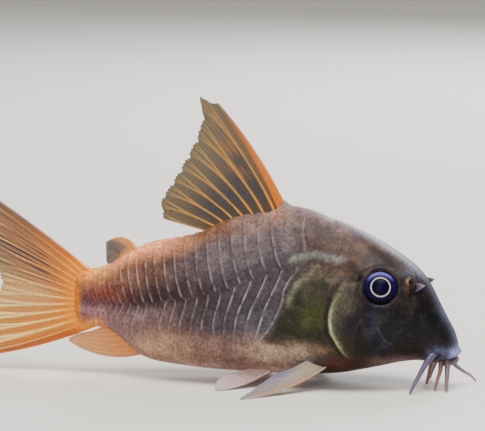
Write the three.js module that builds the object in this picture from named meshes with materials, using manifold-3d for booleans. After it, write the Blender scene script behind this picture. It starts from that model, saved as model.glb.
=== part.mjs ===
// A corydoras catfish at life size, resting on the bottom on its paired fins and its barbels.
// Millimetres, +Z up, head towards +X. A place on the fish is told by how far it is back from the
// snout tip, how far it is out from the middle plane, and how high it is above the ground.
import * as THREE from "three";
import { mergeVertices } from "three/addons/utils/BufferGeometryUtils.js";
import Module from "manifold-3d";

const wasm = await Module();
wasm.setup();

// Driving sizes. All places below are those of a fish 50 mm long from the snout to the tail fin's root.
const standardLength = 50;
const gap = 0.3; // between two parts that touch
const membrane = 0.5; // thickness of a fin between its rays
const rayRidge = 0.38; // how much thicker a fin is over a ray
const scuteRise = 0.24; // how far a scute's rear edge stands over the next one
const scuteCount = 22;
const columnsRound = 40; // columns of the skin round the body

const mouth = { back: 2.3, out: 2.5, height: 4.0, slit: 0.34, depth: 0.55, lip: 0.28, lipSpan: 0.85 };
const eye = { back: 8.95, height: 13.25, radius: 2.2, depth: 1.15, sunk: 0.45 };
const gillCover = { back: 12.4, height: 8.1, halfLength: 2.8, halfHeight: 4.0, lean: 0.16, inner: 5.0 };
const headEnd = { top: 18.6, bottom: 13.9, topHeight: 22, bottomHeight: 1.5 };
const tailStart = 41.2; // the vent, where the trunk ends
const bodyEnd = 50.5; // where the fleshy tail stalk ends

// Plain arithmetic.
const lerp = THREE.MathUtils.lerp;
const smooth = THREE.MathUtils.smoothstep;
const bump = (distance, reach) => Math.exp(-((distance / reach) ** 2));

// A smooth curve through [position, value] pairs that never overshoots them.
function curveThrough(pairs) {
  const rise = (i) => (pairs[i + 1][1] - pairs[i][1]) / (pairs[i + 1][0] - pairs[i][0]);
  const last = pairs.length - 1;
  const slopes = pairs.map((_, i) => {
    if (i === 0) return rise(0);
    if (i === last) return rise(last - 1);
    const [before, after] = [rise(i - 1), rise(i)];
    return before * after <= 0 ? 0 : (2 * before * after) / (before + after);
  });
  return (x) => {
    const held = THREE.MathUtils.clamp(x, pairs[0][0], pairs[last][0]);
    let i = 0;
    while (i < last - 1 && held > pairs[i + 1][0]) i += 1;
    const span = pairs[i + 1][0] - pairs[i][0];
    const t = (held - pairs[i][0]) / span;
    const near = (1 + 2 * t) * (1 - t) ** 2 * pairs[i][1] + t * (1 - t) ** 2 * span * slopes[i];
    const far = t * t * (3 - 2 * t) * pairs[i + 1][1] + t * t * (t - 1) * span * slopes[i + 1];
    return near + far;
  };
}

// The body's outline from the side, its half width from above, and the shape of its sections.
const backLine = curveThrough([
  [0, 6.3], [0.7, 7.5], [1.5, 9.0], [2.7, 11.3], [4.1, 13.75], [5.6, 15.4], [7.6, 16.9], [10, 18.4],
  [13, 19.9], [16.5, 21.3], [20, 22.4], [22, 22.6], [24, 21.9], [28, 21.2], [31, 20.2], [33.4, 18.95],
  [36, 18.2], [40, 17.4], [42.5, 16.3], [45, 14.7], [47.5, 13.75], [49, 13.6], [51, 13.5],
]);
const bellyLine = curveThrough([
  [0, 3.3], [1, 3.15], [3, 3.4], [5, 3.6], [7, 3.4], [9, 2.95], [12, 2.3], [15, 1.75], [18.5, 1.5],
  [24, 1.4], [31, 1.45], [36, 1.75], [39.5, 2.1], [41.3, 2.65], [43, 3.8], [44.5, 5.1], [46, 5.9],
  [48, 6.15], [51, 6.3],
]);
const halfWidth = curveThrough([
  [0, 2.1], [2, 3.0], [4, 3.9], [6.5, 5.1], [9, 6.0], [12, 6.7], [15.5, 7.15], [19, 7.2], [24, 7.0],
  [29, 6.5], [34, 5.8], [38, 4.9], [42, 3.7], [46, 2.5], [49, 1.6], [51, 0.9],
]);
const widestShare = curveThrough([
  [0, 0.45], [4, 0.4], [8, 0.37], [14, 0.34], [20, 0.36], [30, 0.42], [40, 0.48], [51, 0.5],
]);
const backRoundness = curveThrough([
  [0, 2.2], [5, 2.3], [10, 2.0], [15, 1.8], [22, 1.65], [30, 1.7], [40, 1.85], [51, 2],
]);
const bellyRoundness = curveThrough([
  [0, 2.1], [4, 2.4], [10, 2.8], [20, 3.0], [35, 2.6], [42, 2.2], [51, 2],
]);
const lateralLine = curveThrough([
  [17, 16], [22, 15.2], [25.5, 13.7], [30, 12.0], [35, 10.9], [41, 9.9], [47, 9.6], [51, 9.6],
]);
const shoulderEdge = curveThrough([
  [3, 25.5], [6, 24.2], [7.6, 23.0], [8.7, 22.3], [10.1, 21.6], [11.4, 21.2], [12.5, 21.05], [14, 20.4],
  [15.5, 19],
]);

const nose = { length: 0.9, height: 4.7 }; // the snout is rounded off over this length, towards this height

// How much of the section there is near the snout tip, where it closes.
const noseShare = (back) => Math.sqrt(Math.max(0, 1 - Math.max(0, 1 - back / nose.length) ** 2));

// The section's point at an angle from the back (0) down one side to the belly (half a turn),
// as a superellipse above its widest height and another below it. side is -1 on the right.
function sectionPoint(back, angle, side, lift) {
  const share = noseShare(back);
  const top = lerp(nose.height, backLine(back), share);
  const bottom = lerp(nose.height, bellyLine(back), share);
  const wide = halfWidth(back) * share;
  const middle = lerp(bottom, top, widestShare(back));
  const upper = angle <= Math.PI / 2;
  const power = 2 / (upper ? backRoundness(back) : bellyRoundness(back));
  const reach = upper ? top - middle : bottom - middle;
  const across = Math.sin(angle) ** power;
  const along = Math.abs(Math.cos(angle)) ** power;
  const slopeOut = across / Math.max(wide, 0.2);
  const slopeUp = (Math.sign(reach) * along) / Math.max(Math.abs(reach), 0.2);
  const outward = new THREE.Vector2(slopeOut, slopeUp);
  outward.normalize().multiplyScalar(lift);
  return new THREE.Vector3(-back, side * (wide * across + outward.x), middle + reach * along + outward.y);
}

// The raised rims of the eye sockets and the slight hollow between eye and mouth.
function headRelief(back, height) {
  const fromEye = Math.hypot(back - eye.back, height - eye.height);
  return 0.3 * bump(fromEye, 2.9) - 0.25 * bump(Math.hypot(back - 4.5, height - 8.5), 2.2);
}

// Where scute number k starts. The scutes get shorter towards the tail.
const firstScute = 20.5;
const scuteStart = (k) => firstScute + 1.93 * k - 0.0262 * k * k;

// How far a ring of scute edges bends forward where the upper and the lower row meet.
function chevron(back, height) {
  const middle = lateralLine(back);
  const rowStart = smooth(back, 18, 22);
  if (height > middle) return 1.15 * (1 - (height - middle) / (backLine(back) - middle)) ** 3 * rowStart;
  const share = (middle - height) / (middle - bellyLine(back));
  const slant = 0.3 * (11 - height) * (1 - smooth(back, 24, 31));
  return (0.95 * (1 - smooth(share, 0, 0.4)) - slant) * rowStart;
}

// How far a scute's edge leans towards the tail on its way from the widest place to the back.
function scuteLean(back, out) {
  return 0.3 * (halfWidth(back) - Math.abs(out)) * smooth(back, 18, 22) * (1 - smooth(back, 45, 49));
}

// How much of the scutes' relief there is: none in the groove between the rows, on the shoulder or on
// the belly.
function scuteShare(back, height, out) {
  const upper = height > lateralLine(back);
  const start = upper ? firstScute - 0.4 + scuteLean(back, out) : shoulderEdge(height);
  const groove = smooth(Math.abs(height - lateralLine(back)), 0.15, 0.7);
  const bellySkin = lerp(smooth(height, 2.4, 4.2), 1, smooth(back, 38, 43));
  return smooth(back, start, start + 0.8) * groove * bellySkin * (1 - smooth(back, 48.6, 49.8));
}

// The skin's rings from snout to tail, each with the share of the scutes' rise that it carries.
function skinRings() {
  const rings = [0.05, 0.18, 0.4, 0.65, 0.9].map((back) => ({ back, rise: 0 }));
  for (let back = 1.35; back < 8; back += 0.6) rings.push({ back, rise: 0 });
  for (let back = 8.1; back < firstScute - 0.7; back += 0.95) rings.push({ back, rise: 0 });
  for (let k = 0; k < scuteCount; k += 1) {
    const [start, next] = [scuteStart(k), scuteStart(k + 1)];
    rings.push({ back: lerp(start, next, 0.04), rise: 0.1 });
    rings.push({ back: lerp(start, next, 0.9), rise: 1 });
  }
  return rings;
}

// The whole skin as one closed solid, grown outwards by lift.
function skin(lift) {
  const half = columnsRound / 2;
  const rings = skinRings().map((ring) => {
    const points = [];
    for (let column = 0; column < columnsRound; column += 1) {
      const side = column <= half ? -1 : 1;
      const angle = (Math.PI * (column <= half ? column : columnsRound - column)) / half;
      const flat = sectionPoint(ring.back, angle, side, 0);
      const back = ring.back - chevron(ring.back, flat.z) + scuteLean(ring.back, flat.y);
      const there = sectionPoint(back, angle, side, 0);
      const relief = headRelief(back, there.z) + scuteRise * ring.rise * scuteShare(back, there.z, there.y);
      points.push(sectionPoint(back, angle, side, lift + relief * noseShare(back)));
    }
    return points;
  });
  const first = new THREE.Vector3(lift, 0, nose.height);
  const last = new THREE.Vector3(-bodyEnd - lift, 0, (backLine(bodyEnd) + bellyLine(bodyEnd)) / 2);
  return solidOf(loft(rings, first, last));
}

// A closed surface over rings of equal count, closed at both ends to a point.
function loft(rings, first, last) {
  const count = rings[0].length;
  const points = [...rings.flat(), first, last];
  const [firstIndex, lastIndex] = [points.length - 2, points.length - 1];
  const faces = [];
  for (let c = 0; c < count; c += 1) {
    const next = (c + 1) % count;
    faces.push(firstIndex, c, next);
    for (let r = 0; r + 1 < rings.length; r += 1) {
      const [a, b] = [r * count, (r + 1) * count];
      faces.push(a + c, b + c, b + next, a + c, b + next, a + next);
    }
    const end = (rings.length - 1) * count;
    faces.push(lastIndex, end + next, end + c);
  }
  const geometry = new THREE.BufferGeometry().setFromPoints(points);
  geometry.setIndex(faces);
  return geometry;
}

// A closed plate over a grid: place(u, v) gives a point of its middle sheet and its half thickness is
// laid off both ways along out. Both faces are split into triangles alike.
function plate(us, vs, place, halfThickness, out) {
  const points = [];
  for (const face of [1, -1])
    for (const v of vs)
      for (const u of us) points.push(place(u, v).addScaledVector(out, face * halfThickness(u, v)));
  const [wide, high] = [us.length, vs.length];
  const at = (face, row, column) => (face * high + row) * wide + column;
  const faces = [];
  const quad = (a, b, c, d) => faces.push(a, b, c, a, c, d);
  for (let row = 0; row + 1 < high; row += 1)
    for (let column = 0; column + 1 < wide; column += 1)
      for (const face of [0, 1]) {
        const [a, b] = [at(face, row, column), at(face, row, column + 1)];
        const [c, d] = [at(face, row + 1, column + 1), at(face, row + 1, column)];
        faces.push(...(face === 0 ? [a, b, c, a, c, d] : [a, c, b, a, d, c]));
      }
  const last = high - 1;
  for (let column = 0; column + 1 < wide; column += 1) {
    quad(at(0, 0, column), at(1, 0, column), at(1, 0, column + 1), at(0, 0, column + 1));
    quad(at(1, last, column), at(0, last, column), at(0, last, column + 1), at(1, last, column + 1));
  }
  for (let row = 0; row + 1 < high; row += 1) {
    quad(at(0, row + 1, 0), at(1, row + 1, 0), at(1, row, 0), at(0, row, 0));
    quad(at(0, row, wide - 1), at(1, row, wide - 1), at(1, row + 1, wide - 1), at(0, row + 1, wide - 1));
  }
  const geometry = new THREE.BufferGeometry().setFromPoints(points);
  geometry.setIndex(faces);
  return geometry;
}

// A closed geometry as a solid whose faces point out.
function solidOf(geometry) {
  const bare = geometry.clone();
  bare.deleteAttribute("normal");
  bare.deleteAttribute("uv");
  const merged = mergeVertices(bare, 1e-4);
  const vertProperties = merged.attributes.position.array;
  const make = (triVerts) => new wasm.Manifold(new wasm.Mesh({ numProp: 3, vertProperties, triVerts }));
  const made = make(new Uint32Array(merged.index.array));
  if (made.volume() > 0) return made;
  const turned = new Uint32Array(merged.index.array);
  for (let i = 0; i < turned.length; i += 3) [turned[i + 1], turned[i + 2]] = [turned[i + 2], turned[i + 1]];
  return make(turned);
}

// A block between two corners.
function block(low, high) {
  const size = high.map((value, i) => value - low[i]);
  const geometry = new THREE.BoxGeometry(...size);
  geometry.translate(...high.map((value, i) => (value + low[i]) / 2));
  return solidOf(geometry);
}

// The largest closed piece of a solid.
const largest = (made) => made.decompose().sort((a, b) => b.volume() - a.volume())[0];

// The mirror image of a right-hand solid on the left.
const mirrored = (made) => made.mirror([0, 1, 0]);

const bareSkin = skin(0);
const grownSkin = skin(gap);
const ground = block([-90, -40, -20], [40, 40, 0]);

// A named part of the fish.
const fish = new THREE.Group();
function part(name, made, material) {
  const mesh = made.getMesh();
  const geometry = new THREE.BufferGeometry();
  geometry.setAttribute("position", new THREE.BufferAttribute(mesh.vertProperties, 3));
  geometry.setIndex(new THREE.BufferAttribute(mesh.triVerts, 1));
  const flat = geometry.toNonIndexed();
  flat.computeVertexNormals();
  const named = new THREE.Mesh(flat, material);
  named.name = name;
  fish.add(named);
}

// Finishes.
const finish = (color, roughness) => new THREE.MeshStandardMaterial({ color, roughness, metalness: 0 });
const slateSkin = finish(0x6e5a50, 0.45);
const darkHead = finish(0x3f3734, 0.4);
const orangeFin = finish(0xc9853c, 0.5);
const paleFin = finish(0xa08a78, 0.5);
const barbelSkin = finish(0x8d8494, 0.5);
const eyeFinish = finish(0x1c1c50, 0.15);

// Head, trunk and tail stalk are the one skin, parted by thin cuts.
function acrossHeadEnd(shift) {
  const slope = (headEnd.top - headEnd.bottom) / (headEnd.topHeight - headEnd.bottomHeight);
  const at = (height) => -(headEnd.bottom + slope * (height - headEnd.bottomHeight)) - shift;
  const outline = new THREE.Shape([
    new THREE.Vector2(at(-5), -5),
    new THREE.Vector2(20, -5),
    new THREE.Vector2(20, 40),
    new THREE.Vector2(at(40), 40),
  ]);
  return prism(outline, -20, 20);
}

// A flat outline in the side view, given depth from one distance out to another.
function prism(outline, low, high) {
  const straight = { depth: high - low, bevelEnabled: false, curveSegments: 14 };
  const geometry = new THREE.ExtrudeGeometry(outline, straight);
  geometry.rotateX(Math.PI / 2);
  geometry.translate(0, high, 0);
  return solidOf(geometry);
}

// The gill cover's outline from the side, grown by some margin.
function gillOutline(margin) {
  const outline = new THREE.Shape();
  const { back, height, halfLength, halfHeight, lean } = gillCover;
  outline.absellipse(-back, height, halfLength + margin, halfHeight + margin, 0, 2 * Math.PI, false, -lean);
  return outline;
}

// An eye: a flattened ball set square to the skin.
function skinNormal(back, height, side) {
  const near = (b, h) => {
    let [low, high] = [0, Math.PI];
    for (let i = 0; i < 40; i += 1) {
      const middle = (low + high) / 2;
      if (sectionPoint(b, middle, side, 0).z > h) low = middle;
      else high = middle;
    }
    return sectionPoint(b, low, side, 0);
  };
  const step = 0.2;
  const point = near(back, height);
  const along = near(back + step, height).sub(near(back - step, height));
  const up = near(back, height + step).sub(near(back, height - step));
  const normal = along.cross(up).normalize();
  if (normal.y * side < 0) normal.negate();
  return { point, normal };
}

function eyeball(side, grow) {
  const { point, normal } = skinNormal(eye.back, eye.height, side);
  const ball = new THREE.SphereGeometry(1, 20, 12);
  ball.rotateX(Math.PI / 2);
  ball.scale(eye.radius + grow, eye.radius + grow, eye.depth + grow);
  ball.applyQuaternion(new THREE.Quaternion().setFromUnitVectors(new THREE.Vector3(0, 0, 1), normal));
  ball.translate(...point.addScaledVector(normal, -eye.sunk).toArray());
  return solidOf(ball);
}

// A nostril: a pit, and in front of it a small flap of skin that stands up.
const nostril = { back: 5.45, height: 13.75, radius: 0.42 };
const flap = { back: 4.75, height: 13.15, length: 1.3, radius: 0.55, sunk: 0.35 };
function nostrilPit(side) {
  const { point } = skinNormal(nostril.back, nostril.height, side);
  const pit = new THREE.SphereGeometry(nostril.radius, 10, 6);
  pit.translate(...point.toArray());
  return solidOf(pit);
}
function nostrilFlap(side) {
  const { point, normal } = skinNormal(flap.back, flap.height, side);
  const lean = normal.clone().multiplyScalar(0.7).add(new THREE.Vector3(0.55, 0, 0.2)).normalize();
  const leaf = new THREE.ConeGeometry(flap.radius, flap.length, 8, 1);
  leaf.scale(1, 1, 0.55);
  leaf.applyQuaternion(new THREE.Quaternion().setFromUnitVectors(new THREE.Vector3(0, 1, 0), lean));
  leaf.translate(...point.addScaledVector(lean, flap.length / 2 - flap.sunk).toArray());
  return solidOf(leaf);
}

function makeHead() {
  const mouthBand = (reach) => block([-mouth.back, -9, mouth.height - reach], [9, 9, mouth.height + reach]);
  const lips = skin(mouth.lip).intersect(mouthBand(mouth.lipSpan));
  const slit = mouthBand(mouth.slit / 2).subtract(skin(-mouth.depth));
  let head = bareSkin.intersect(acrossHeadEnd(-gap / 2)).add(lips).subtract(slit);
  for (const side of [-1, 1]) {
    head = head.add(nostrilFlap(side)).subtract(nostrilPit(side)).subtract(eyeball(side, gap));
    const pocket = prism(gillOutline(gap), -9, -gillCover.inner + gap);
    head = head.subtract(side < 0 ? pocket : mirrored(pocket));
  }
  return largest(head);
}

function makeGillCover() {
  return largest(skin(0.15).intersect(prism(gillOutline(0), -9, -gillCover.inner)));
}

function makeTrunk() {
  const behind = block([-tailStart + gap / 2, -20, -5], [20, 20, 40]);
  return largest(bareSkin.subtract(acrossHeadEnd(gap / 2)).intersect(behind));
}

function makeTail() {
  return largest(bareSkin.intersect(block([-60, -20, -5], [-tailStart - gap / 2, 20, 40])));
}

// Columns of a fin: on each ray's crest and on both its sides, so that the rays stand as ridges.
function rayColumns(rays) {
  const us = [];
  for (let ray = 0; ray < rays; ray += 1) {
    us.push(ray / (rays - 1));
    if (ray < rays - 1) us.push((ray + 0.3) / (rays - 1), (ray + 0.7) / (rays - 1));
  }
  return us;
}

// A fin's half thickness: thick over the rays and at the root, thin towards the margin.
function finThickness(rays, rootHalf, spineExtra) {
  return (u, v) => {
    const toRay = Math.abs(u * (rays - 1) - Math.round(u * (rays - 1)));
    const ridge = toRay < 0.1 ? rayRidge / 2 : 0;
    const spine = u < 0.01 ? spineExtra * (1 - 0.7 * v) : 0;
    const root = (rootHalf - membrane / 2) * (1 - smooth(v, 0.05, 0.4));
    return (membrane / 2 + ridge + spine + root) * (1 - 0.35 * smooth(v, 0.7, 1));
  };
}

const steps = (count) => Array.from({ length: count + 1 }, (_, i) => i / count);

// A fin in the middle plane, from its front or upper edge (u = 0) to its last ray (u = 1). root gives
// [back, height] for u, and margin lists rows of [u, back, height].
function medianFin({ rays, rows, root, margin, bow, rootHalf, spine, notch }) {
  const tipBackAt = curveThrough(margin.map(([u, back]) => [u, back]));
  const tipHeightAt = curveThrough(margin.map(([u, , height]) => [u, height]));
  const place = (u, v) => {
    const toRay = Math.abs(u * (rays - 1) - Math.round(u * (rays - 1)));
    const reach = v * (1 - notch * smooth(toRay, 0.1, 0.3) * v);
    const [rootBack, rootHeight] = root(u);
    const along = new THREE.Vector2(tipBackAt(u) - rootBack, tipHeightAt(u) - rootHeight);
    const bend = (bow(u) * 4 * v * (1 - v)) / along.length();
    const back = rootBack + along.x * reach - along.y * bend;
    const height = rootHeight + along.y * reach + along.x * bend;
    return new THREE.Vector3(-back, 0, height);
  };
  const half = finThickness(rays, rootHalf, spine);
  const fin = plate(rayColumns(rays), steps(rows), place, half, new THREE.Vector3(0, 1, 0));
  return largest(solidOf(fin).subtract(grownSkin));
}

const sunk = 0.9; // how far a fin's root reaches into the body before it is cut back

function makeDorsalFin() {
  const root = (u) => {
    const back = lerp(22.1, 32.2, u * (1.15 - 0.15 * u));
    return [back, backLine(back) - sunk];
  };
  const margin = [
    [0, 31.25, 35.4], [0.05, 31.85, 35.35], [0.12, 33.8, 36.35], [0.2, 33.5, 33.4], [0.3, 34.2, 31.0],
    [0.5, 35.9, 27.6], [0.7, 37.5, 24.9], [0.88, 38.9, 22.4], [1, 38.6, 20.4],
  ];
  const bow = (u) => 0.65 * (1 - u);
  return medianFin({ rays: 9, rows: 6, root, margin, bow, rootHalf: 0.6, spine: 0.3, notch: 0.03 });
}

function makeAdiposeFin() {
  const root = (u) => {
    const back = lerp(42.0, 45.7, u);
    return [back, backLine(back) - sunk];
  };
  const margin = [[0, 45.2, 17.7], [0.4, 46.3, 17.0], [1, 46.2, 14.6]];
  const bow = (u) => 0.8 * (1 - u);
  return medianFin({ rays: 3, rows: 4, root, margin, bow, rootHalf: 0.45, spine: 0.2, notch: 0 });
}

function makeTailFin() {
  const root = (u) => {
    const edge = Math.abs(2 * u - 1) ** 2.5;
    return [lerp(50.0, 48.4, edge) - 1.2 * u ** 8, lerp(13.4, 6.3, u)];
  };
  const margin = [
    [0, 62, 22.9], [0.07, 64.2, 23.3], [0.2, 63.4, 19.6], [0.35, 61.8, 15.3], [0.5, 60.5, 11.4],
    [0.65, 61.9, 7.9], [0.8, 63.6, 4.5], [0.93, 64.7, 1.6], [1, 62.4, 1.7],
  ];
  const bow = (u) => lerp(0.25, -0.5, u);
  return medianFin({ rays: 14, rows: 5, root, margin, bow, rootHalf: 0.62, spine: 0.1, notch: 0.02 });
}

function makeAnalFin() {
  const root = (u) => {
    const back = lerp(40.4, 45.6, u);
    return [back, bellyLine(back) + sunk];
  };
  const margin = [[0, 50.4, 3.5], [0.18, 51.5, 4.2], [0.5, 50.6, 4.9], [1, 48.3, 5.5]];
  const bow = (u) => -1.1 * (1 - u);
  return medianFin({ rays: 8, rows: 5, root, margin, bow, rootHalf: 0.5, spine: 0.05, notch: 0.02 });
}

// A fin on the right side. Rays run from the root line, [from, to] in [back, out, height], to the
// margin, rows of [u, back, out, height]. sag is how far the first and the last ray hang.
function pairedFin({ rays, rows, root, margin, sag, rootHalf, spine, face }) {
  const column = (k) => curveThrough(margin.map((row) => [row[0], row[k]]));
  const [tipBack, tipOut, tipHeight] = [column(1), column(2), column(3)];
  const [rootFrom, rootTo] = root.map((point) => new THREE.Vector3(...point));
  const place = (u, v) => {
    const point = rootFrom.clone().lerp(rootTo, u);
    point.lerp(new THREE.Vector3(tipBack(u), tipOut(u), tipHeight(u)), v);
    return new THREE.Vector3(-point.x, -point.y, point.z + lerp(...sag, u) * 4 * v * (1 - v));
  };
  const fin = plate(rayColumns(rays), steps(rows), place, finThickness(rays, rootHalf, spine), face);
  return largest(solidOf(fin).subtract(grownSkin).subtract(ground));
}

function makePectoralFin() {
  return pairedFin({
    rays: 8,
    rows: 6,
    root: [[14.8, 4.2, 3.7], [16.6, 5.2, 5.0]],
    margin: [[0, 24.3, 14.7, 0.12], [0.12, 24.6, 14.1, 0.15], [0.5, 23.3, 11.7, 1.1], [1, 21.4, 8.9, 2.5]],
    sag: [-0.95, -0.4],
    rootHalf: 0.5,
    spine: 0.3,
    face: new THREE.Vector3(0.1, -0.4, 0.9).normalize(),
  });
}

function makePelvicFin() {
  return pairedFin({
    rays: 6,
    rows: 6,
    root: [[23.0, 3.7, 2.2], [24.7, 3.9, 2.5]],
    margin: [[0, 28.6, 9.2, 0.1], [0.2, 29.4, 8.7, 0.12], [0.6, 29.6, 7.2, 0.8], [1, 29.0, 5.3, 1.6]],
    sag: [-0.4, -0.15],
    rootHalf: 0.4,
    spine: 0.12,
    face: new THREE.Vector3(0, -0.35, 0.94).normalize(),
  });
}

// A barbel: a tapered feeler along a curve from the lip to the ground. Its points are [back, out, height].
function makeBarbel(points, side, rootRadius, tipRadius) {
  const knots = points.map(([back, out, height]) => new THREE.Vector3(-back, side * out, height));
  const curve = new THREE.CatmullRomCurve3(knots);
  const count = 9;
  const frames = curve.computeFrenetFrames(count, false);
  const rings = steps(count).map((t, i) => {
    const radius = lerp(rootRadius, tipRadius, t);
    const middle = curve.getPoint(t);
    return Array.from({ length: 8 }, (_, k) => {
      const angle = (2 * Math.PI * k) / 8;
      return middle.clone()
        .addScaledVector(frames.normals[i], Math.cos(angle) * radius)
        .addScaledVector(frames.binormals[i], Math.sin(angle) * radius);
    });
  });
  const end = curve.getPoint(1).addScaledVector(frames.tangents[count], tipRadius);
  const tube = solidOf(loft(rings, curve.getPoint(0), end));
  return largest(tube.subtract(skin(mouth.lip + gap)).subtract(ground));
}

part("head", makeHead(), darkHead);
const gill = makeGillCover();
part("gill_cover_right", gill, darkHead);
part("gill_cover_left", mirrored(gill), darkHead);
part("trunk", makeTrunk(), slateSkin);
part("tail", makeTail(), slateSkin);
part("eye_right", eyeball(-1, 0), eyeFinish);
part("eye_left", eyeball(1, 0), eyeFinish);
part("dorsal_fin", makeDorsalFin(), orangeFin);
part("adipose_fin", makeAdiposeFin(), paleFin);
part("tail_fin", makeTailFin(), orangeFin);
part("anal_fin", makeAnalFin(), orangeFin);
const pectoral = makePectoralFin();
part("pectoral_fin_right", pectoral, paleFin);
part("pectoral_fin_left", mirrored(pectoral), paleFin);
const pelvic = makePelvicFin();
part("pelvic_fin_right", pelvic, paleFin);
part("pelvic_fin_left", mirrored(pelvic), paleFin);

const sweptBack = [
  [1.8, 1.6, 5.6], [2.8, 3.05, 4.6], [3.5, 3.9, 3.5], [4.0, 4.6, 2.4], [4.6, 5.4, 1.1], [5.0, 5.9, 0.1],
];
const hanging = [[1.1, 1.5, 4.0], [1.0, 2.1, 3.0], [0.95, 2.5, 1.9], [0.95, 2.9, 0.1]];
const reaching = [[1.4, 1.3, 3.7], [0.7, 2.4, 2.5], [0.0, 3.5, 1.7], [-0.7, 4.6, 1.0], [-1.2, 5.6, 0.1]];
const chinRight = [[1.9, 1.5, 3.9], [1.9, 1.9, 2.9], [2.2, 2.3, 1.5], [2.5, 2.6, 0.1]];
const chinLeft = [[3.2, 1.0, 3.9], [3.7, 1.2, 2.9], [4.1, 1.5, 1.6], [4.5, 1.8, 0.1]];
part("barbel_upper_right", makeBarbel(sweptBack, -1, 0.6, 0.22), barbelSkin);
part("barbel_upper_left", makeBarbel(sweptBack, 1, 0.6, 0.22), barbelSkin);
part("barbel_lower_right", makeBarbel(hanging, -1, 0.42, 0.22), barbelSkin);
part("barbel_lower_left", makeBarbel(reaching, 1, 0.34, 0.2), barbelSkin);
part("barbel_chin_right", makeBarbel(chinRight, -1, 0.36, 0.2), barbelSkin);
part("barbel_chin_left", makeBarbel(chinLeft, 1, 0.36, 0.2), barbelSkin);

// The origin is under the middle of the fish, on the ground.
const bounds = new THREE.Box3().setFromObject(fish);
const middle = bounds.getCenter(new THREE.Vector3());
fish.position.set(-middle.x, -middle.y, -bounds.min.z);
fish.scale.setScalar(standardLength / 50);

export default fish;
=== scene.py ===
# %% [markdown]
# # A corydoras catfish at rest
#
# This lesson dresses a small armoured catfish that sits on the bottom on its paired fins and its
# barbels. The animal is 50 mm long without its tail fin. Its construction is already there as a packed
# model, and here we give it skin, scutes, fin rays, eyes and colour. Everything is in metres in the
# model's own frame, and every surface is worked out with numpy from a few curves.

import bpy
import numpy as np
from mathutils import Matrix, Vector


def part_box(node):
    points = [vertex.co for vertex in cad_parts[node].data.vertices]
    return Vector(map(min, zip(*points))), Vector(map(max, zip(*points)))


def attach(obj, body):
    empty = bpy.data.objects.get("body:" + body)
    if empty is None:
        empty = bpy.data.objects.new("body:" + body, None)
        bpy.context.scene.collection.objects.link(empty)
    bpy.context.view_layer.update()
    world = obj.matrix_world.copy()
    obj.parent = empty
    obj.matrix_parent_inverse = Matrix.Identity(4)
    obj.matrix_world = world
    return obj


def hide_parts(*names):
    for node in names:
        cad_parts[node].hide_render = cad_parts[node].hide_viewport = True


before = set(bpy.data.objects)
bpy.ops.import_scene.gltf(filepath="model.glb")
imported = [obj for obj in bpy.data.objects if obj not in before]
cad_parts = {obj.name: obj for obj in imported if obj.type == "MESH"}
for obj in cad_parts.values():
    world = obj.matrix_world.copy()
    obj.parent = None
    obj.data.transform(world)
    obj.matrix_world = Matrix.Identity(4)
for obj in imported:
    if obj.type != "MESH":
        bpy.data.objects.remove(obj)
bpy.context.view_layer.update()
print("nodes of the model:", len(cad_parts))

# %% [markdown]
# ## Where things are on a fish
#
# A place on a fish is easiest to tell in three millimetre numbers: how far back it is from the snout
# tip, how far out it is from the middle plane (the left side is positive), and how high it is above the
# ground. The tail stalk's node begins with a flat cut at a known distance from the snout, so its front
# tells us where the snout tip is in the model's frame.

# %% From fish places to the frame
MM = 0.001
TAIL_NODE_START = 41.35
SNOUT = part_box("tail")[1].x / MM + TAIL_NODE_START


def place(back, out, height):
    """Metres in the frame: x runs against back from the snout tip, y is out, z is height."""
    back, out, height = np.broadcast_arrays(back, out, height)
    return np.stack([SNOUT - back, out, height], axis=-1) * MM


print(f"snout tip at x = {SNOUT:.2f} mm")

# %% [markdown]
# ## The camera
#
# The camera comes first, because it decides how much detail each place needs. It looks at the fish's
# right side, a little from ahead and from just above, and from nearly half a metre away with a long
# lens, so the far side is hardly smaller than the near one.

# %% The camera
CAMERA_TURN = np.radians(15.0)
CAMERA_RISE = np.radians(7.0)
CAMERA_DISTANCE = 450.0
CAMERA_LENS = 262.86
LOOKED_AT = (28.1, 0.0, 21.125)

towards_camera = np.array([
    np.sin(CAMERA_TURN) * np.cos(CAMERA_RISE),
    -np.cos(CAMERA_TURN) * np.cos(CAMERA_RISE),
    np.sin(CAMERA_RISE),
])
camera = bpy.data.objects.new("camera", bpy.data.cameras.new("camera"))
bpy.context.scene.collection.objects.link(camera)
camera.data.lens = CAMERA_LENS
camera.data.sensor_width = 36.0
camera.data.clip_start = 0.01
camera.location = place(*LOOKED_AT) + towards_camera * CAMERA_DISTANCE * MM
camera.rotation_euler = (np.pi / 2 - CAMERA_RISE, 0.0, CAMERA_TURN)
bpy.context.scene.camera = camera
print("camera at", [round(c, 3) for c in camera.location])

# %% [markdown]
# ## Curves and soft steps
#
# A fish has few straight lines, so most of its form is told by curves through a handful of knots. A
# cubic whose end slopes are the harmonic means of the neighbouring slopes goes through every knot and
# never swings past it. Soft steps and bumps then raise and lower parts of the surface.

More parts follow.
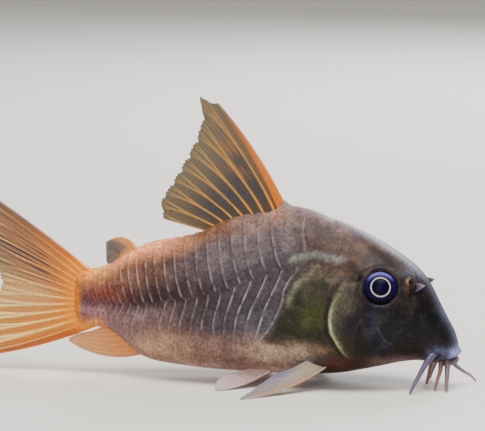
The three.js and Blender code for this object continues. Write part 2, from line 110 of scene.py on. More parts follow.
# %% Curves, steps and bumps
def curve(*knots):
    """A smooth function through (position, value) knots that never overshoots them."""
    x, y = np.array(knots, float).T
    rise = np.diff(y) / np.diff(x)
    before, after = rise[:-1], rise[1:]
    same_way = before * after > 0
    mean = 2 * before * after / np.where(same_way, before + after, 1.0)
    slope = np.concatenate([rise[:1], np.where(same_way, mean, 0.0), rise[-1:]])

    def value(at):
        """The cubic of the span that holds each place, held flat past the end knots."""
        at = np.clip(at, x[0], x[-1])
        i = np.clip(np.searchsorted(x, at, side="right") - 1, 0, len(x) - 2)
        span = x[i + 1] - x[i]
        t = (at - x[i]) / span
        near = (1 + 2 * t) * (1 - t) ** 2 * y[i] + t * (1 - t) ** 2 * span * slope[i]
        far = t * t * (3 - 2 * t) * y[i + 1] + t * t * (t - 1) * span * slope[i + 1]
        return near + far

    return value


def step(x, low, high):
    """0 below low, 1 above high, and an S-shaped cubic between them."""
    t = np.clip((x - low) / (high - low), 0.0, 1.0)
    return t * t * (3 - 2 * t)


def fall(x, low, high):
    """1 below low, 0 above high, and the same soft step between them."""
    return 1 - step(x, low, high)


def bump(distance, reach):
    """1 at no distance, falling off as a bell curve over the reach."""
    return np.exp(-((distance / reach) ** 2))


def blend(a, b, share):
    """a where share is 0 and b where it is 1."""
    return a + (b - a) * share


def line_distance(x, y, *points):
    """The distance from each (x, y) to the nearest place on a line through the points."""
    best = np.full(np.shape(x), np.inf)
    for (ax, ay), (bx, by) in zip(points, points[1:]):
        length = (bx - ax) ** 2 + (by - ay) ** 2
        t = np.clip(((x - ax) * (bx - ax) + (y - ay) * (by - ay)) / length, 0, 1)
        best = np.minimum(best, np.hypot(x - ax - t * (bx - ax), y - ay - t * (by - ay)))
    return best


print("a soft step from 0 to 1:", [round(float(step(x, 0, 1)), 2) for x in (0, 0.25, 0.5, 0.75, 1)])

# %% [markdown]
# ## Meshes from grids
#
# Every piece is a grid of points. A tube-like grid is closed round one way and drawn together to a
# point at both ends. A fin is a plate: the same grid twice, a little apart, joined round its rim.
# `foreach_set` puts whole arrays into a mesh at once, which is quick even for many points.

# %% Grids into meshes
def mesh_piece(name, points, faces, attributes, material):
    """A mesh object from points, four- or three-cornered faces and one value or colour a point."""
    mesh = bpy.data.meshes.new(name)
    mesh.vertices.add(len(points))
    mesh.vertices.foreach_set("co", np.asarray(points, np.float32).ravel())
    counts = np.concatenate([np.full(len(f), f.shape[1]) for f in faces])
    corners = np.concatenate([f.ravel() for f in faces])
    mesh.loops.add(len(corners))
    mesh.loops.foreach_set("vertex_index", corners.astype(np.int32))
    mesh.polygons.add(len(counts))
    starts = np.concatenate([[0], np.cumsum(counts)[:-1]])
    mesh.polygons.foreach_set("loop_start", starts.astype(np.int32))
    mesh.polygons.foreach_set("use_smooth", np.ones(len(counts), bool))
    mesh.update(calc_edges=True)
    mesh.validate()
    for key, values in attributes.items():
        values = np.asarray(values, np.float32)
        if values.ndim == 1:
            mesh.attributes.new(key, "FLOAT", "POINT").data.foreach_set("value", values)
        else:
            colours = np.concatenate([values, np.ones((len(values), 1), np.float32)], axis=1)
            mesh.attributes.new(key, "FLOAT_COLOR", "POINT").data.foreach_set("color", colours.ravel())
    piece = bpy.data.objects.new(name, mesh)
    bpy.context.scene.collection.objects.link(piece)
    mesh.materials.append(material)
    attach(piece, "root")
    return piece


print("meshes of the model so far:", len(bpy.data.meshes))

# %% The faces and values of a grid
def grid_quads(rows, columns, closed=False):
    """The four corners of every cell of a grid, closed round its columns or open."""
    across = np.arange(columns if closed else columns - 1)
    row = np.arange(rows - 1)[:, None] * columns
    here, there = across, (across + 1) % columns
    corners = [row + here, row + there, row + columns + there, row + columns + here]
    return np.stack(corners, axis=-1).reshape(-1, 4)


def flat_attributes(attributes, copies=1):
    """Grid-shaped values as one long list, repeated once for each copy of the grid."""
    lists = {}
    for key, values in attributes.items():
        values = values.reshape(-1, 3) if values.ndim == 3 else values.ravel()
        lists[key] = np.concatenate([values] * copies)
    return lists


print("faces of a grid of 3 by 4:", len(grid_quads(3, 4)), "or closed", len(grid_quads(3, 4, True)))

# %% Tubes and plates
def closed_tube(name, points, attributes, material):
    """A piece from a grid of rings, drawn together at each end to the middle of its end ring."""
    rows, columns = points.shape[:2]
    ends = np.stack([points[0].mean(0), points[-1].mean(0)])
    first, last = rows * columns, rows * columns + 1
    around = np.arange(columns)
    after = (around + 1) % columns
    start = np.stack([after, around, np.full(columns, first)], axis=-1)
    finish = np.stack([around, after, np.full(columns, last)], axis=-1)
    finish[:, :2] += (rows - 1) * columns
    lists = {}
    for key, values in flat_attributes(attributes).items():
        grid = values.reshape(rows, columns, -1)
        tips = np.stack([grid[0].mean(0), grid[-1].mean(0)])
        lists[key] = np.concatenate([grid.reshape(rows * columns, -1), tips]).squeeze()
    everything = np.concatenate([points.reshape(-1, 3), ends])
    return mesh_piece(name, everything, [grid_quads(rows, columns, True), start, finish], lists, material)


def normals(points):
    """Unit normals of a grid: the cross product of its two directions of travel."""
    across = np.cross(np.gradient(points, axis=1), np.gradient(points, axis=0))
    return across / np.linalg.norm(across, axis=-1, keepdims=True).clip(1e-12)


def plate(name, middle, half, attributes, material):
    """A thin closed piece: the grid moved half its thickness both ways along its normals, and a rim."""
    rows, columns = middle.shape[:2]
    apart = normals(middle) * half[..., None]
    points = np.concatenate([(middle + apart).reshape(-1, 3), (middle - apart).reshape(-1, 3)])
    quads = grid_quads(rows, columns)
    count = rows * columns
    index = np.arange(count).reshape(rows, columns)
    rim = np.concatenate([index[0], index[1:, -1], index[-1, -2::-1], index[-2:0:-1, 0]])
    after = np.roll(rim, -1)
    sides = np.stack([after, rim, rim + count, after + count], axis=-1)
    faces = [quads, quads[:, ::-1] + count, sides]
    return mesh_piece(name, points, faces, flat_attributes(attributes, 2), material)


level_grid = place([[0, 0], [1, 1]], [[0, 1], [0, 1]], 5)
print("normal of a level grid:", normals(level_grid)[0, 0])

# %% [markdown]
# ## Finishes
#
# A finish is a small network of shader nodes. The class below has one short method for each kind of
# node that this fish needs, so that each finish later reads like a recipe. Colours are named as a
# painter mixes them, in the 0 to 255 steps of a screen, and turned to linear light here.

# %% Colours
def tint(red, green, blue):
    """A screen colour in 0 to 255 steps as linear light."""
    c = np.array([red, green, blue]) / 255.0
    return np.where(c <= 0.04045, c / 12.92, ((c + 0.055) / 1.055) ** 2.4)


LUMINANCE = np.array([0.2126, 0.7152, 0.0722])
RICHNESS = 1.1
DEPTH = 1.35
DIMMING = 0.9


def paint(red, green, blue):
    """The pigment that looks like a screen colour here.

    Soft light and a wet skin make every colour look paler than it was mixed, so it moves a tenth
    further from its own grey, is raised to a power that deepens it, and is dimmed a little."""
    light = tint(red, green, blue)
    grey = light @ LUMINANCE
    return DIMMING * np.clip(grey + RICHNESS * (light - grey), 0, 1) ** DEPTH


print("the pigment of a mid slate:", np.round(paint(104, 98, 104), 3))

# %% A small vocabulary for finishes
class Finish:
    """A material whose methods add nodes and give back what they put out."""

    def __init__(self, name, roughness, coat=0.0, coat_roughness=0.1, specular=0.5):
        self.material = bpy.data.materials.new(name)
        self.material.use_nodes = True
        self.nodes = self.material.node_tree.nodes
        self.links = self.material.node_tree.links
        self.shader = self.nodes["Principled BSDF"]
        self.shader.inputs["Roughness"].default_value = roughness
        self.shader.inputs["Coat Weight"].default_value = coat
        self.shader.inputs["Coat Roughness"].default_value = coat_roughness
        self.shader.inputs["Specular IOR Level"].default_value = specular

    def feed(self, socket, value):
        """Links an output to a socket, or sets the socket to a number or a colour."""
        if isinstance(value, bpy.types.NodeSocket):
            self.links.new(value, socket)
        elif np.ndim(value):
            socket.default_value = [*value, 1.0][: len(socket.default_value)]
        else:
            socket.default_value = value

    def attribute(self, name, output="Fac"):
        """The value that a piece keeps at each of its points under this name."""
        node = self.nodes.new("ShaderNodeAttribute")
        node.attribute_name = name
        return node.outputs[output]

    def math(self, operation, a, b=0.0):
        """One sum, product or the like of two values."""
        node = self.nodes.new("ShaderNodeMath")
        node.operation = operation
        self.feed(node.inputs[0], a)
        self.feed(node.inputs[1], b)
        return node.outputs[0]

    def times(self, *values):
        """The product of all values."""
        product = values[0]
        for value in values[1:]:
            product = self.math("MULTIPLY", product, value)
        return product

    def ramp(self, value, low, high, bottom=0.0, top=1.0):
        """bottom at low and top at high, with a soft step between them."""
        node = self.nodes.new("ShaderNodeMapRange")
        node.interpolation_type = "SMOOTHSTEP"
        for socket, number in zip(node.inputs, (value, low, high, bottom, top)):
            self.feed(socket, number)
        return node.outputs[0]

    def mix(self, share, a, b, blend_type="MIX"):
        """Colour a with as much of colour b as the share says."""
        node = self.nodes.new("ShaderNodeMix")
        node.data_type = "RGBA"
        node.blend_type = blend_type
        colours = [socket for socket in node.inputs if socket.type == "RGBA"]
        self.feed(node.inputs[0], share)
        self.feed(colours[0], a)
        self.feed(colours[1], b)
        return [socket for socket in node.outputs if socket.type == "RGBA"][0]

    def noise(self, per_mm, detail=2.0, stretch=(1.0, 1.0, 1.0), roughness=0.5):
        """Noise on the object's own coordinates, with so many swells a millimetre."""
        where = self.nodes.new("ShaderNodeTexCoord").outputs["Object"]
        mapping = self.nodes.new("ShaderNodeMapping")
        mapping.inputs["Scale"].default_value = stretch
        self.links.new(where, mapping.inputs["Vector"])
        node = self.nodes.new("ShaderNodeTexNoise")
        self.links.new(mapping.outputs[0], node.inputs["Vector"])
        node.inputs["Scale"].default_value = per_mm / MM
        node.inputs["Detail"].default_value = detail
        node.inputs["Roughness"].default_value = roughness
        return node.outputs[0]

    def raise_by(self, height, millimetres, strength=1.0):
        """Bump: the surface seems to rise by so many millimetres where height is 1."""
        node = self.nodes.new("ShaderNodeBump")
        node.inputs["Distance"].default_value = millimetres * MM
        node.inputs["Strength"].default_value = strength
        self.feed(node.inputs["Height"], height)
        self.links.new(node.outputs[0], self.shader.inputs["Normal"])

    def put(self, socket, value):
        """Joins a value or a colour to the surface itself."""
        self.feed(self.shader.inputs[socket], value)


print("a finish knows", [name for name in vars(Finish) if not name.startswith("_")])

# %% [markdown]
# ## The form of the body
#
# The body is a stack of upright sections. Seen from the side each has a top and a bottom, seen from
# above a half width. A section is a superellipse above its widest height and another one below it: an
# exponent under 2 gives the keeled back, one near 3 the flat belly. These are the same curves that the
# construction uses, so the skin lies exactly where the solids are.

# %% The curves of the body
BODY_END = 50.5
NOSE_LENGTH = 0.9
NOSE_HEIGHT = 4.7

back_line = curve(
    (0, 6.3), (0.7, 7.5), (1.5, 9.0), (2.7, 11.3), (4.1, 13.75), (5.6, 15.4), (7.6, 16.9), (10, 18.4),
    (13, 19.9), (16.5, 21.3), (20, 22.4), (22, 22.6), (24, 21.9), (28, 21.2), (31, 20.2), (33.4, 18.95),
    (36, 18.2), (40, 17.4), (42.5, 16.3), (45, 14.7), (47.5, 13.75), (49, 13.6), (51, 13.5))
belly_line = curve(
    (0, 3.3), (1, 3.15), (3, 3.4), (5, 3.6), (7, 3.4), (9, 2.95), (12, 2.3), (15, 1.75), (18.5, 1.5),
    (24, 1.4), (31, 1.45), (36, 1.75), (39.5, 2.1), (41.3, 2.65), (43, 3.8), (44.5, 5.1), (46, 5.9),
    (48, 6.15), (51, 6.3))
half_width = curve(
    (0, 2.1), (2, 3.0), (4, 3.9), (6.5, 5.1), (9, 6.0), (12, 6.7), (15.5, 7.15), (19, 7.2), (24, 7.0),
    (29, 6.5), (34, 5.8), (38, 4.9), (42, 3.7), (46, 2.5), (49, 1.6), (51, 0.9))
widest_share = curve(
    (0, 0.45), (4, 0.4), (8, 0.37), (14, 0.34), (20, 0.36), (30, 0.42), (40, 0.48), (51, 0.5))
back_roundness = curve(
    (0, 2.2), (5, 2.3), (10, 2.0), (15, 1.8), (22, 1.65), (30, 1.7), (40, 1.85), (51, 2))
belly_roundness = curve((0, 2.1), (4, 2.4), (10, 2.8), (20, 3.0), (35, 2.6), (42, 2.2), (51, 2))
lateral_line = curve(
    (17, 16), (22, 15.2), (25.5, 13.7), (30, 12.0), (35, 10.9), (41, 9.9), (47, 9.6), (51, 9.6))


def section(back, turn):
    """The (out, height) of the section at back, turn radians from its top down the right side.

    In polar form a superellipse with half sizes a and b and exponent p has the radius
    (|sin / a| ** p + |cos / b| ** p) ** (-1 / p). The snout closes as a quarter circle."""
    share = np.sqrt(1 - np.clip(1 - back / NOSE_LENGTH, 0, 1) ** 2).clip(1e-4)
    top = blend(NOSE_HEIGHT, back_line(back), share)
    bottom = blend(NOSE_HEIGHT, belly_line(back), share)
    wide = half_width(back) * share
    middle = blend(bottom, top, widest_share(back))
    upper = np.cos(turn) > 0
    tall = np.where(upper, top - middle, middle - bottom)
    power = np.where(upper, back_roundness(back), belly_roundness(back))
    radius = (np.abs(np.sin(turn) / wide) ** power + np.abs(np.cos(turn) / tall) ** power) ** (-1 / power)
    return -radius * np.sin(turn), middle + radius * np.cos(turn)


deep, wide = back_line(22) - belly_line(22), 2 * half_width(22)
print(f"at the dorsal fin's root the body is {deep:.1f} mm deep and {wide:.1f} mm wide")

# %% [markdown]
# ## The grid of the skin
#
# The rings lie close together at the snout, where the mouth is, and about an eighth of a millimetre
# apart on the flanks, which is as fine as the photograph's own dots at this distance.

# %% The rings of the skin
SKIN_COLUMNS = 232
snout_rings = NOSE_LENGTH * (1 - np.cos(np.linspace(0.05, np.pi / 2, 26)))
ring_back = np.concatenate([
    snout_rings,
    np.linspace(NOSE_LENGTH, 9, 84)[1:],
    np.linspace(9, 20, 82)[1:],
    np.linspace(20, BODY_END, 234)[1:],
])
turn = np.linspace(0, 2 * np.pi, SKIN_COLUMNS, endpoint=False)
back, turn = np.meshgrid(ring_back, turn, indexing="ij")
out, height = section(back, turn)
smooth_skin = place(back, out, height)
wrapped_round = np.concatenate([smooth_skin[:, -1:], smooth_skin, smooth_skin[:, :1]], axis=1)
# The rings run so that the grid's own normals point inwards.
outward = -normals(wrapped_round)[:, 1:-1]
print("skin rings", len(ring_back), "of", SKIN_COLUMNS, "points each")

# %% [markdown]
# ## Scutes
#
# The flanks carry two rows of long upright bony plates that meet at the lateral line. Each plate's
# rear edge lies over the next plate, so a row is a sawtooth: it rises slowly towards the tail and drops
# at the edge. The plates get shorter towards the tail, the rows are set half a plate apart, and every
# edge bends forward where the rows meet, which gives the chevrons. So each place on the flank gets a
# number that counts plates, whose whole part says which plate it is and whose fraction says how far
# back it is on that plate.

# %% Counting plates
FIRST_SCUTE = 20.5
SCUTE_LENGTH = 1.93
SCUTE_SHRINK = 0.0262
SCUTE_RISE = 0.13
EDGE_DROP = 0.17
STALK_BEGIN = 42.5
STALK_CROWDING = 0.05

top, bottom, middle_line = back_line(back), belly_line(back), lateral_line(back)
upper_row = height > middle_line
upper_share = np.clip((height - middle_line) / (top - middle_line), 0, 1)
lower_share = np.clip((middle_line - height) / (middle_line - bottom), 0, 1)


def plate_number(where):
    """How many plates lie ahead of a place, from plate k starting at 20.5 + 1.93 k - 0.0262 k squared.

    On the tail stalk they get shorter still, so a term that grows with the square is added there."""
    inside = SCUTE_LENGTH ** 2 - 4 * SCUTE_SHRINK * (where - FIRST_SCUTE)
    plain = (SCUTE_LENGTH - np.sqrt(inside.clip(0.2))) / (2 * SCUTE_SHRINK)
    return plain + STALK_CROWDING * np.clip(where - STALK_BEGIN, 0, None) ** 2


lean = 0.3 * (half_width(back) - np.abs(out))
upper_bend = 1.15 * (1 - upper_share) ** 3
lower_bend = 0.95 * fall(lower_share, 0, 0.4) - 0.3 * (11 - height) * fall(back, 24, 31)
upper_number = plate_number(back - lean + upper_bend)
lower_number = plate_number(back - lean + lower_bend) + 0.5
number = np.where(upper_row, upper_number, lower_number)
plate_length = np.sqrt((SCUTE_LENGTH ** 2 - 4 * SCUTE_SHRINK * (back - FIRST_SCUTE)).clip(0.3, 3.8))
print(f"plates to the tail fin: {number.max():.1f}")

# %% [markdown]
# ## Where the plates are, and the bones of the shoulder
#
# The plates begin behind the shoulder girdle, whose rear edge slants back and down, and they end above
# the soft belly. At the tail fin's root they fade out. The gill cover has a free rear edge as well.

# %% Plate rows, shoulder and gill cover
shoulder_edge = curve(
    (3, 25.5), (6, 24.2), (7.6, 23.0), (8.7, 22.3), (10.1, 21.6), (11.4, 21.2), (12.5, 21.05), (14, 20.4),
    (15.5, 19))
gill_edge = curve(
    (3.6, 12.2), (5.2, 13.6), (6.8, 14.5), (7.8, 15.0), (9.6, 15.15), (11, 14.9), (12.2, 14.5),
    (13.4, 14.0), (14.6, 13.2))
plates_begin = np.where(upper_row, FIRST_SCUTE - 0.2 + lean, shoulder_edge(height))
belly_skin = blend(step(height, 3.4, 5.2), 1.0, step(back, 39, 44))
row_groove = blend(step(np.abs(height - middle_line), 0.05, 0.5), 1.0, 0.4)
scute_share = step(back, plates_begin, plates_begin + 0.5) * belly_skin * row_groove
scute_share = scute_share * fall(back, 48.6, 49.8)

fraction = number - np.floor(number)
drop = EDGE_DROP / plate_length
sawtooth = np.where(fraction < 1 - drop, fraction / (1 - drop), (1 - fraction) / drop)
scute_relief = (SCUTE_RISE * (sawtooth - 0.35) * scute_share
                * np.where(upper_row, 1.0, step(height, 3.8, 7.0)) * (1 - 0.5 * step(back, 40, 47)))

behind_shoulder = back - shoulder_edge(height)
shoulder_share = step(height, 5.0, 7.0) * fall(height, 14.2, 15.4)
shoulder_relief = 0.16 * step(-behind_shoulder, -0.05, 0.12) * step(back, 15.5, 19) * shoulder_share

behind_gill = back - gill_edge(height)
gill_share = step(height, 4.0, 5.6) * fall(height, 13.0, 14.6)
gill_lip = 0.26 * step(-behind_gill, -0.04, 0.1) * step(back, 9.5, 14)
gill_slit = -0.22 * step(behind_gill, 0, 0.1) * fall(behind_gill, 0.25, 0.9)
gill_relief = (gill_lip + gill_slit) * gill_share
print(f"gill cover reaches {gill_edge(9.6):.1f} mm behind the snout")

# %% [markdown]
# ## Eye sockets, nostrils and mouth
#
# Each eye sits in a cup with a raised rim. To make the cup round on the sloping skin, its depth depends
# on the true distance from the eye's centre and not on the distance in the side view. The nostril is a
# small pit behind a flap. The mouth is small and low: a slit between two fleshy lips.

# %% The head's relief
EYE_BACK = 8.95
EYE_HEIGHT = 13.25
EYE_RADIUS = 2.2
EYE_DEPTH = 1.15
EYE_SUNK = 0.45


def on_skin(at_back, at_height, side):
    """The skin's point and outward unit normal at a place of the side view; side is -1 on the right."""
    turns = np.linspace(0, np.pi, 2001)

    def point(b, h):
        """The skin's place at a back and a height, with back counted forwards."""
        o, z = section(np.full_like(turns, b), turns)
        return np.array([-b, -side * np.interp(-h, -z, o), h])

    small = 0.2
    along = point(at_back + small, at_height) - point(at_back - small, at_height)
    up = point(at_back, at_height + small) - point(at_back, at_height - small)
    normal = np.cross(along, up)
    normal *= np.sign(normal[1] * side) / np.linalg.norm(normal)
    found = point(at_back, at_height)
    return place(-found[0], found[1], found[2]), normal


NOSTRIL_BACK = 5.45
NOSTRIL_HEIGHT = 13.75
eye_place = {side: on_skin(EYE_BACK, EYE_HEIGHT, side) for side in (-1, 1)}
nostril_place = {side: on_skin(NOSTRIL_BACK, NOSTRIL_HEIGHT, side) for side in (-1, 1)}


def nearest(places):
    """The distance in millimetres from each skin point to the nearer of the two sides' places."""
    return np.minimum(*(np.linalg.norm(smooth_skin - p, axis=-1) for p, _ in places.values())) / MM


from_eye = nearest(eye_place)
from_nostril = nearest(nostril_place)
cup = -1.3 * fall(from_eye, 1.55, 2.12)
rim = 0.3 * bump(from_eye - 2.45, 0.42) + 0.22 * bump(from_eye, 3.4) * step(from_eye, 2.0, 2.4)
pit = -0.4 * fall(from_nostril, 0.12, 0.42) + 0.12 * bump(from_nostril - 0.52, 0.18)

mouth_height = curve((0, 4.15), (1.2, 3.95), (2.4, 3.55))
mouth_share = fall(back, 2.0, 2.6)
from_mouth = height - mouth_height(back)
slit = -0.5 * bump(from_mouth, 0.13) * mouth_share
lips = 0.3 * (bump(from_mouth - 0.55, 0.42) + 0.9 * bump(from_mouth + 0.5, 0.34)) * mouth_share
fold = line_distance(back, height, (1.2, 5.0), (2.2, 5.4), (3.0, 4.9))
head_relief = cup + rim + pit + slit + lips + 0.3 * bump(fold, 0.45)
print("right eye at", np.round(eye_place[-1][0] / MM, 2), "mm")

# %% [markdown]
# ## Small forms of the head and nape
#
# A catfish's head is thin skin over bone: a hollow below and ahead of the eye, a ridge where the cheek
# bone ends, shallow seams between the roof plates, the plate in front of the dorsal fin, and the knob of
# the small locking spine at its foot.

# %% The bones under the skin
hollow = -0.28 * bump(np.hypot(back - 4.7, (height - 8.6) * 0.8), 2.3)
cheek_bone = line_distance(back, height, (11.6, 12.4), (12.0, 9.5), (11.2, 6.2), (8.6, 4.6))
nape_front = line_distance(
    back, height, (18.0, 21.7), (16.1, 21.1), (14.9, 19.7), (14.4, 18.3), (14.7, 16.9))
nape_rear = line_distance(back, height, (19.5, 21.9), (19.3, 19.9), (18.7, 17.8))
shelf = line_distance(back, height, (20.2, 16.4), (18.7, 16.9), (17.4, 17.1), (16.0, 16.8), (12.6, 16.3))
process = line_distance(
    back, height, (17.0, 15.5), (18.1, 14.5), (19.2, 13.6), (19.9, 12.4), (20.3, 11.2))
brow = line_distance(back, height, (17.0, 15.5), (16.1, 14.6), (15.1, 13.7))
seams = -0.09 * (bump(nape_front, 0.16) + bump(nape_rear, 0.14))
ridges = 0.12 * bump(shelf, 0.32) + 0.13 * bump(process, 0.3) + 0.08 * bump(brow, 0.25)
knob = 0.9 * bump(np.hypot((back - 22.7) / 0.65, out / 0.6), 1.0) * upper_row
bone_relief = hollow + 0.12 * bump(cheek_bone, 0.4) + seams + ridges + knob

# The skin draws in at the end of the stalk, and the relief fades at the snout tip.
stalk_end = -0.45 * step(back, 49.2, BODY_END) ** 2
relief = scute_relief + shoulder_relief + gill_relief + head_relief + bone_relief + stalk_end
relief = relief * step(back, 0.0, 0.25)
skin_points = smooth_skin + outward * (relief * MM)[..., None]
print(f"relief from {relief.min():.2f} to {relief.max():.2f} mm")

# %% [markdown]
# ## Painting the skin
#
# The colours of this fish lie in soft zones: tan along the back, slate on the plates, black below the
# eye, olive on the shoulder and pink under the belly. They are laid on as a painter would, from large
# zones to small ones. Each zone is a soft mask between 0 and 1, worked out from the place on the fish.

# %% Large zones
def wash(colour):
    """A colour over the whole skin."""
    return np.broadcast_to(paint(*colour), back.shape + (3,)).copy()


def lay(tone, colour, mask):
    """The tone with a colour laid over it where the mask is 1."""
    return blend(tone, paint(*colour), np.clip(mask, 0, 1)[..., None])


def lay_all(tone, *coats):
    """The tone with the colour of every (colour, mask) laid over it in turn."""
    for colour, mask in coats:
        tone = lay(tone, colour, mask)
    return tone


def spot(at_back, at_height, reach_back, reach_height):
    """A soft oval spot of 1 round a place."""
    return bump(np.hypot((back - at_back) / reach_back, (height - at_height) / reach_height), 1.0)


to_tail = step(back, 27, 40)
tan_back = step(upper_share, 0.6, 0.98)
above_line = height - middle_line
dark_band = bump(above_line - 0.7, 1.3) * step(back, 29, 34) * fall(back, 42, 47)
low_stalk = fall(height, 6.6, 8.0) * step(back, 45.0, 47.0)

tone = lay_all(
    blend(wash((104, 98, 104)), wash((92, 72, 66)), to_tail[..., None]),
    # The upper row is pale in its middle and dark at the lateral line.
    ((128, 116, 114), bump(upper_share - 0.5, 0.3) * upper_row * (1 - to_tail) * 0.7),
    ((80, 72, 76), fall(upper_share, 0.0, 0.45) * upper_row * 0.8),
    # The lower row is dark at the lateral line too.
    ((80, 68, 70), (~upper_row) * fall(lower_share, 0.1, 0.6) * 0.7),
    # Along the back: grey-brown in front, bright tan towards the tail.
    ((146, 112, 92), tan_back),
    ((156, 136, 128), tan_back * fall(back, 25, 31)),
    ((250, 184, 144), step(upper_share, 0.6, 0.95) * step(back, 32, 41)),
    ((156, 124, 112), bump(upper_share - 0.55, 0.25) * step(back, 34, 43) * 0.6),
    # A dark band lies over the lateral line, and a paler zone under it.
    ((80, 60, 58), dark_band * 0.75),
    ((152, 130, 130), fall(above_line, -1.6, -0.1) * step(back, 31, 43) * 0.8),
    # The tail stalk is red-brown above the line, lilac under it and orange at its end.
    ((158, 92, 78), spot(46.0, 10.8, 3.4, 1.2) * 0.6),
    ((176, 138, 142), spot(47.0, 8.4, 2.8, 1.0) * 0.7),
    ((232, 158, 78), step(back, 48.9, 50.1)),
    ((250, 190, 112), spot(48.4, 13.6, 2.6, 1.5) * 0.8),
    ((236, 164, 96), step(back, 46.5, 49.0) * step(upper_share, 0.5, 0.95) + low_stalk * 0.8),
    # The belly and its paler patches.
    ((144, 120, 112), fall(height, 5.2, 7.8) * step(back, 18.5, 22) * fall(back, 40, 43)),
    ((204, 182, 164), spot(22.8, 4.8, 3.2, 1.6) * 0.75),
    ((206, 170, 148), spot(38.4, 4.2, 4.8, 2.4) * 0.75),
    ((220, 188, 178), fall(height, 1.6, 3.2) * step(back, 16, 22) * (1 - to_tail * 0.6)),
    # The foot of the dorsal fin.
    ((200, 152, 122), spot(23.6, 21.5, 1.0, 0.6) * 0.5),
    ((136, 116, 110), spot(22.5, 23.0, 0.6, 0.6) * 0.8),
)
print("large zones laid")

# %% Zones of the head and shoulder
low_edge = blend(plates_begin, 17.5, fall(height, 4.6, 6.4))
softness = 1.6 + 1.5 * fall(height, 4, 6.5) + 2.4 * step(height, 15.8, 18)
head_zone = fall(back, low_edge - softness, low_edge + 0.2)
under_top = top - height
below_eye = line_distance(back, height, (9.4, 10.8), (9.9, 8.6), (9.3, 6.4), (8.4, 5.8))

tone = lay_all(
    tone,
    # The roof of the head is brown, with painted rim light as a paler line along its ridge.
    ((84, 74, 68), head_zone),
    ((84, 62, 46), head_zone * spot(12.8, 17.2, 4.4, 2.2)),
    ((80, 62, 58), spot(17.3, 19.2, 2.6, 2.2) * 0.9),
    ((150, 132, 134), head_zone * fall(under_top, 0.2, 1.5) * step(back, 10, 16)),
    ((122, 110, 120), head_zone * fall(under_top, 0.05, 0.8) * step(back, 4, 7) * fall(back, 12, 16)),
    # Dark round the eye and black below it.
    ((52, 42, 44), spot(9.0, 16.2, 2.6, 1.1) * 0.8),
    ((20, 14, 10), spot(11.8, 13.8, 1.1, 1.8) * 0.95),
    ((28, 20, 16), head_zone * fall(height, 12.5, 15.2) * fall(back, 11.2, 13.4) * 0.95),
    ((0, 0, 0), spot(7.8, 9.4, 3.2, 2.8) * 0.98),
    ((6, 6, 14), spot(3.9, 9.8, 2.3, 3.6) * 0.95),
    # The snout's edge has a blue-grey painted sheen.
    ((82, 88, 108), bump(out, 1.4) * head_zone * fall(back, 5, 9)),
    ((92, 106, 130), spot(5.2, 15.0, 1.6, 0.6) * 0.6),
    # The shoulder is olive, greenest in its middle.
    ((64, 62, 46),
     head_zone * step(back, 14.9, 15.6) * step(height, 5.6, 7.5) * fall(height, 13.0, 15.8)),
    ((84, 90, 22), spot(17.3, 9.6, 1.4, 2.2) * 0.8),
    ((48, 44, 34), spot(18.6, 12.0, 1.2, 1.6) * 0.5),
    ((42, 26, 16), spot(17.3, 6.8, 3.2, 0.9) * 0.85),
    # The gill cover.
    ((100, 96, 78), spot(13.3, 11.4, 1.2, 1.3) * 0.85),
    ((24, 20, 22), spot(12.0, 8.4, 1.8, 1.8) * 0.85),
    ((62, 58, 28), spot(12.8, 5.8, 1.6, 1.1) * 0.8),
    # Navy and violet below the eye.
    ((26, 20, 66), bump(below_eye, 0.75) * 0.45),
    ((84, 80, 96), bump(line_distance(back, height, (9.2, 8.4), (8.2, 6.6), (7.4, 6.2)), 0.14) * 0.5),
    ((40, 52, 54), spot(6.8, 8.2, 1.3, 1.1) * 0.5),
    # Throat and chest.
    ((52, 36, 30), head_zone * fall(height, 3.8, 5.6) * step(back, 2.6, 5) * 0.9),
    ((140, 108, 110), head_zone * fall(height, 3.3, 5.0) * step(back, 2, 5) * fall(back, 8, 12) * 0.8),
    ((92, 50, 10), spot(14.2, 3.2, 2.8, 1.3) * 0.8),
    ((176, 156, 136), spot(19.6, 5.2, 2.3, 1.0) * 0.95),
    ((176, 142, 112), spot(16.0, 5.3, 0.9, 0.5) * 0.4),
    # The lips, a painted highlight on the front of the upper lip, and painted shade in the slit between
    # them.
    ((120, 96, 98), mouth_share * fall(from_mouth, -0.1, 0.1)),
    # Painted highlight on the front of the upper lip.
    ((154, 156, 196), mouth_share * bump(from_mouth - 0.7, 0.75) * fall(back, 0.3, 1.25)),
    ((96, 98, 116), mouth_share * bump(from_mouth - 0.5, 0.5) * step(back, 0.8, 1.8) * 0.5),
    ((96, 98, 122), bump(fold, 0.45) * 0.8),
    # Painted shade in the mouth slit.
    ((60, 44, 46), mouth_share * bump(from_mouth, 0.16)),
)
print("head zones laid")

# %% Fine strokes of light
gill_top = line_distance(back, height, (14.6, 12.0), (13.8, 13.2), (12.6, 13.7), (11.2, 13.6))

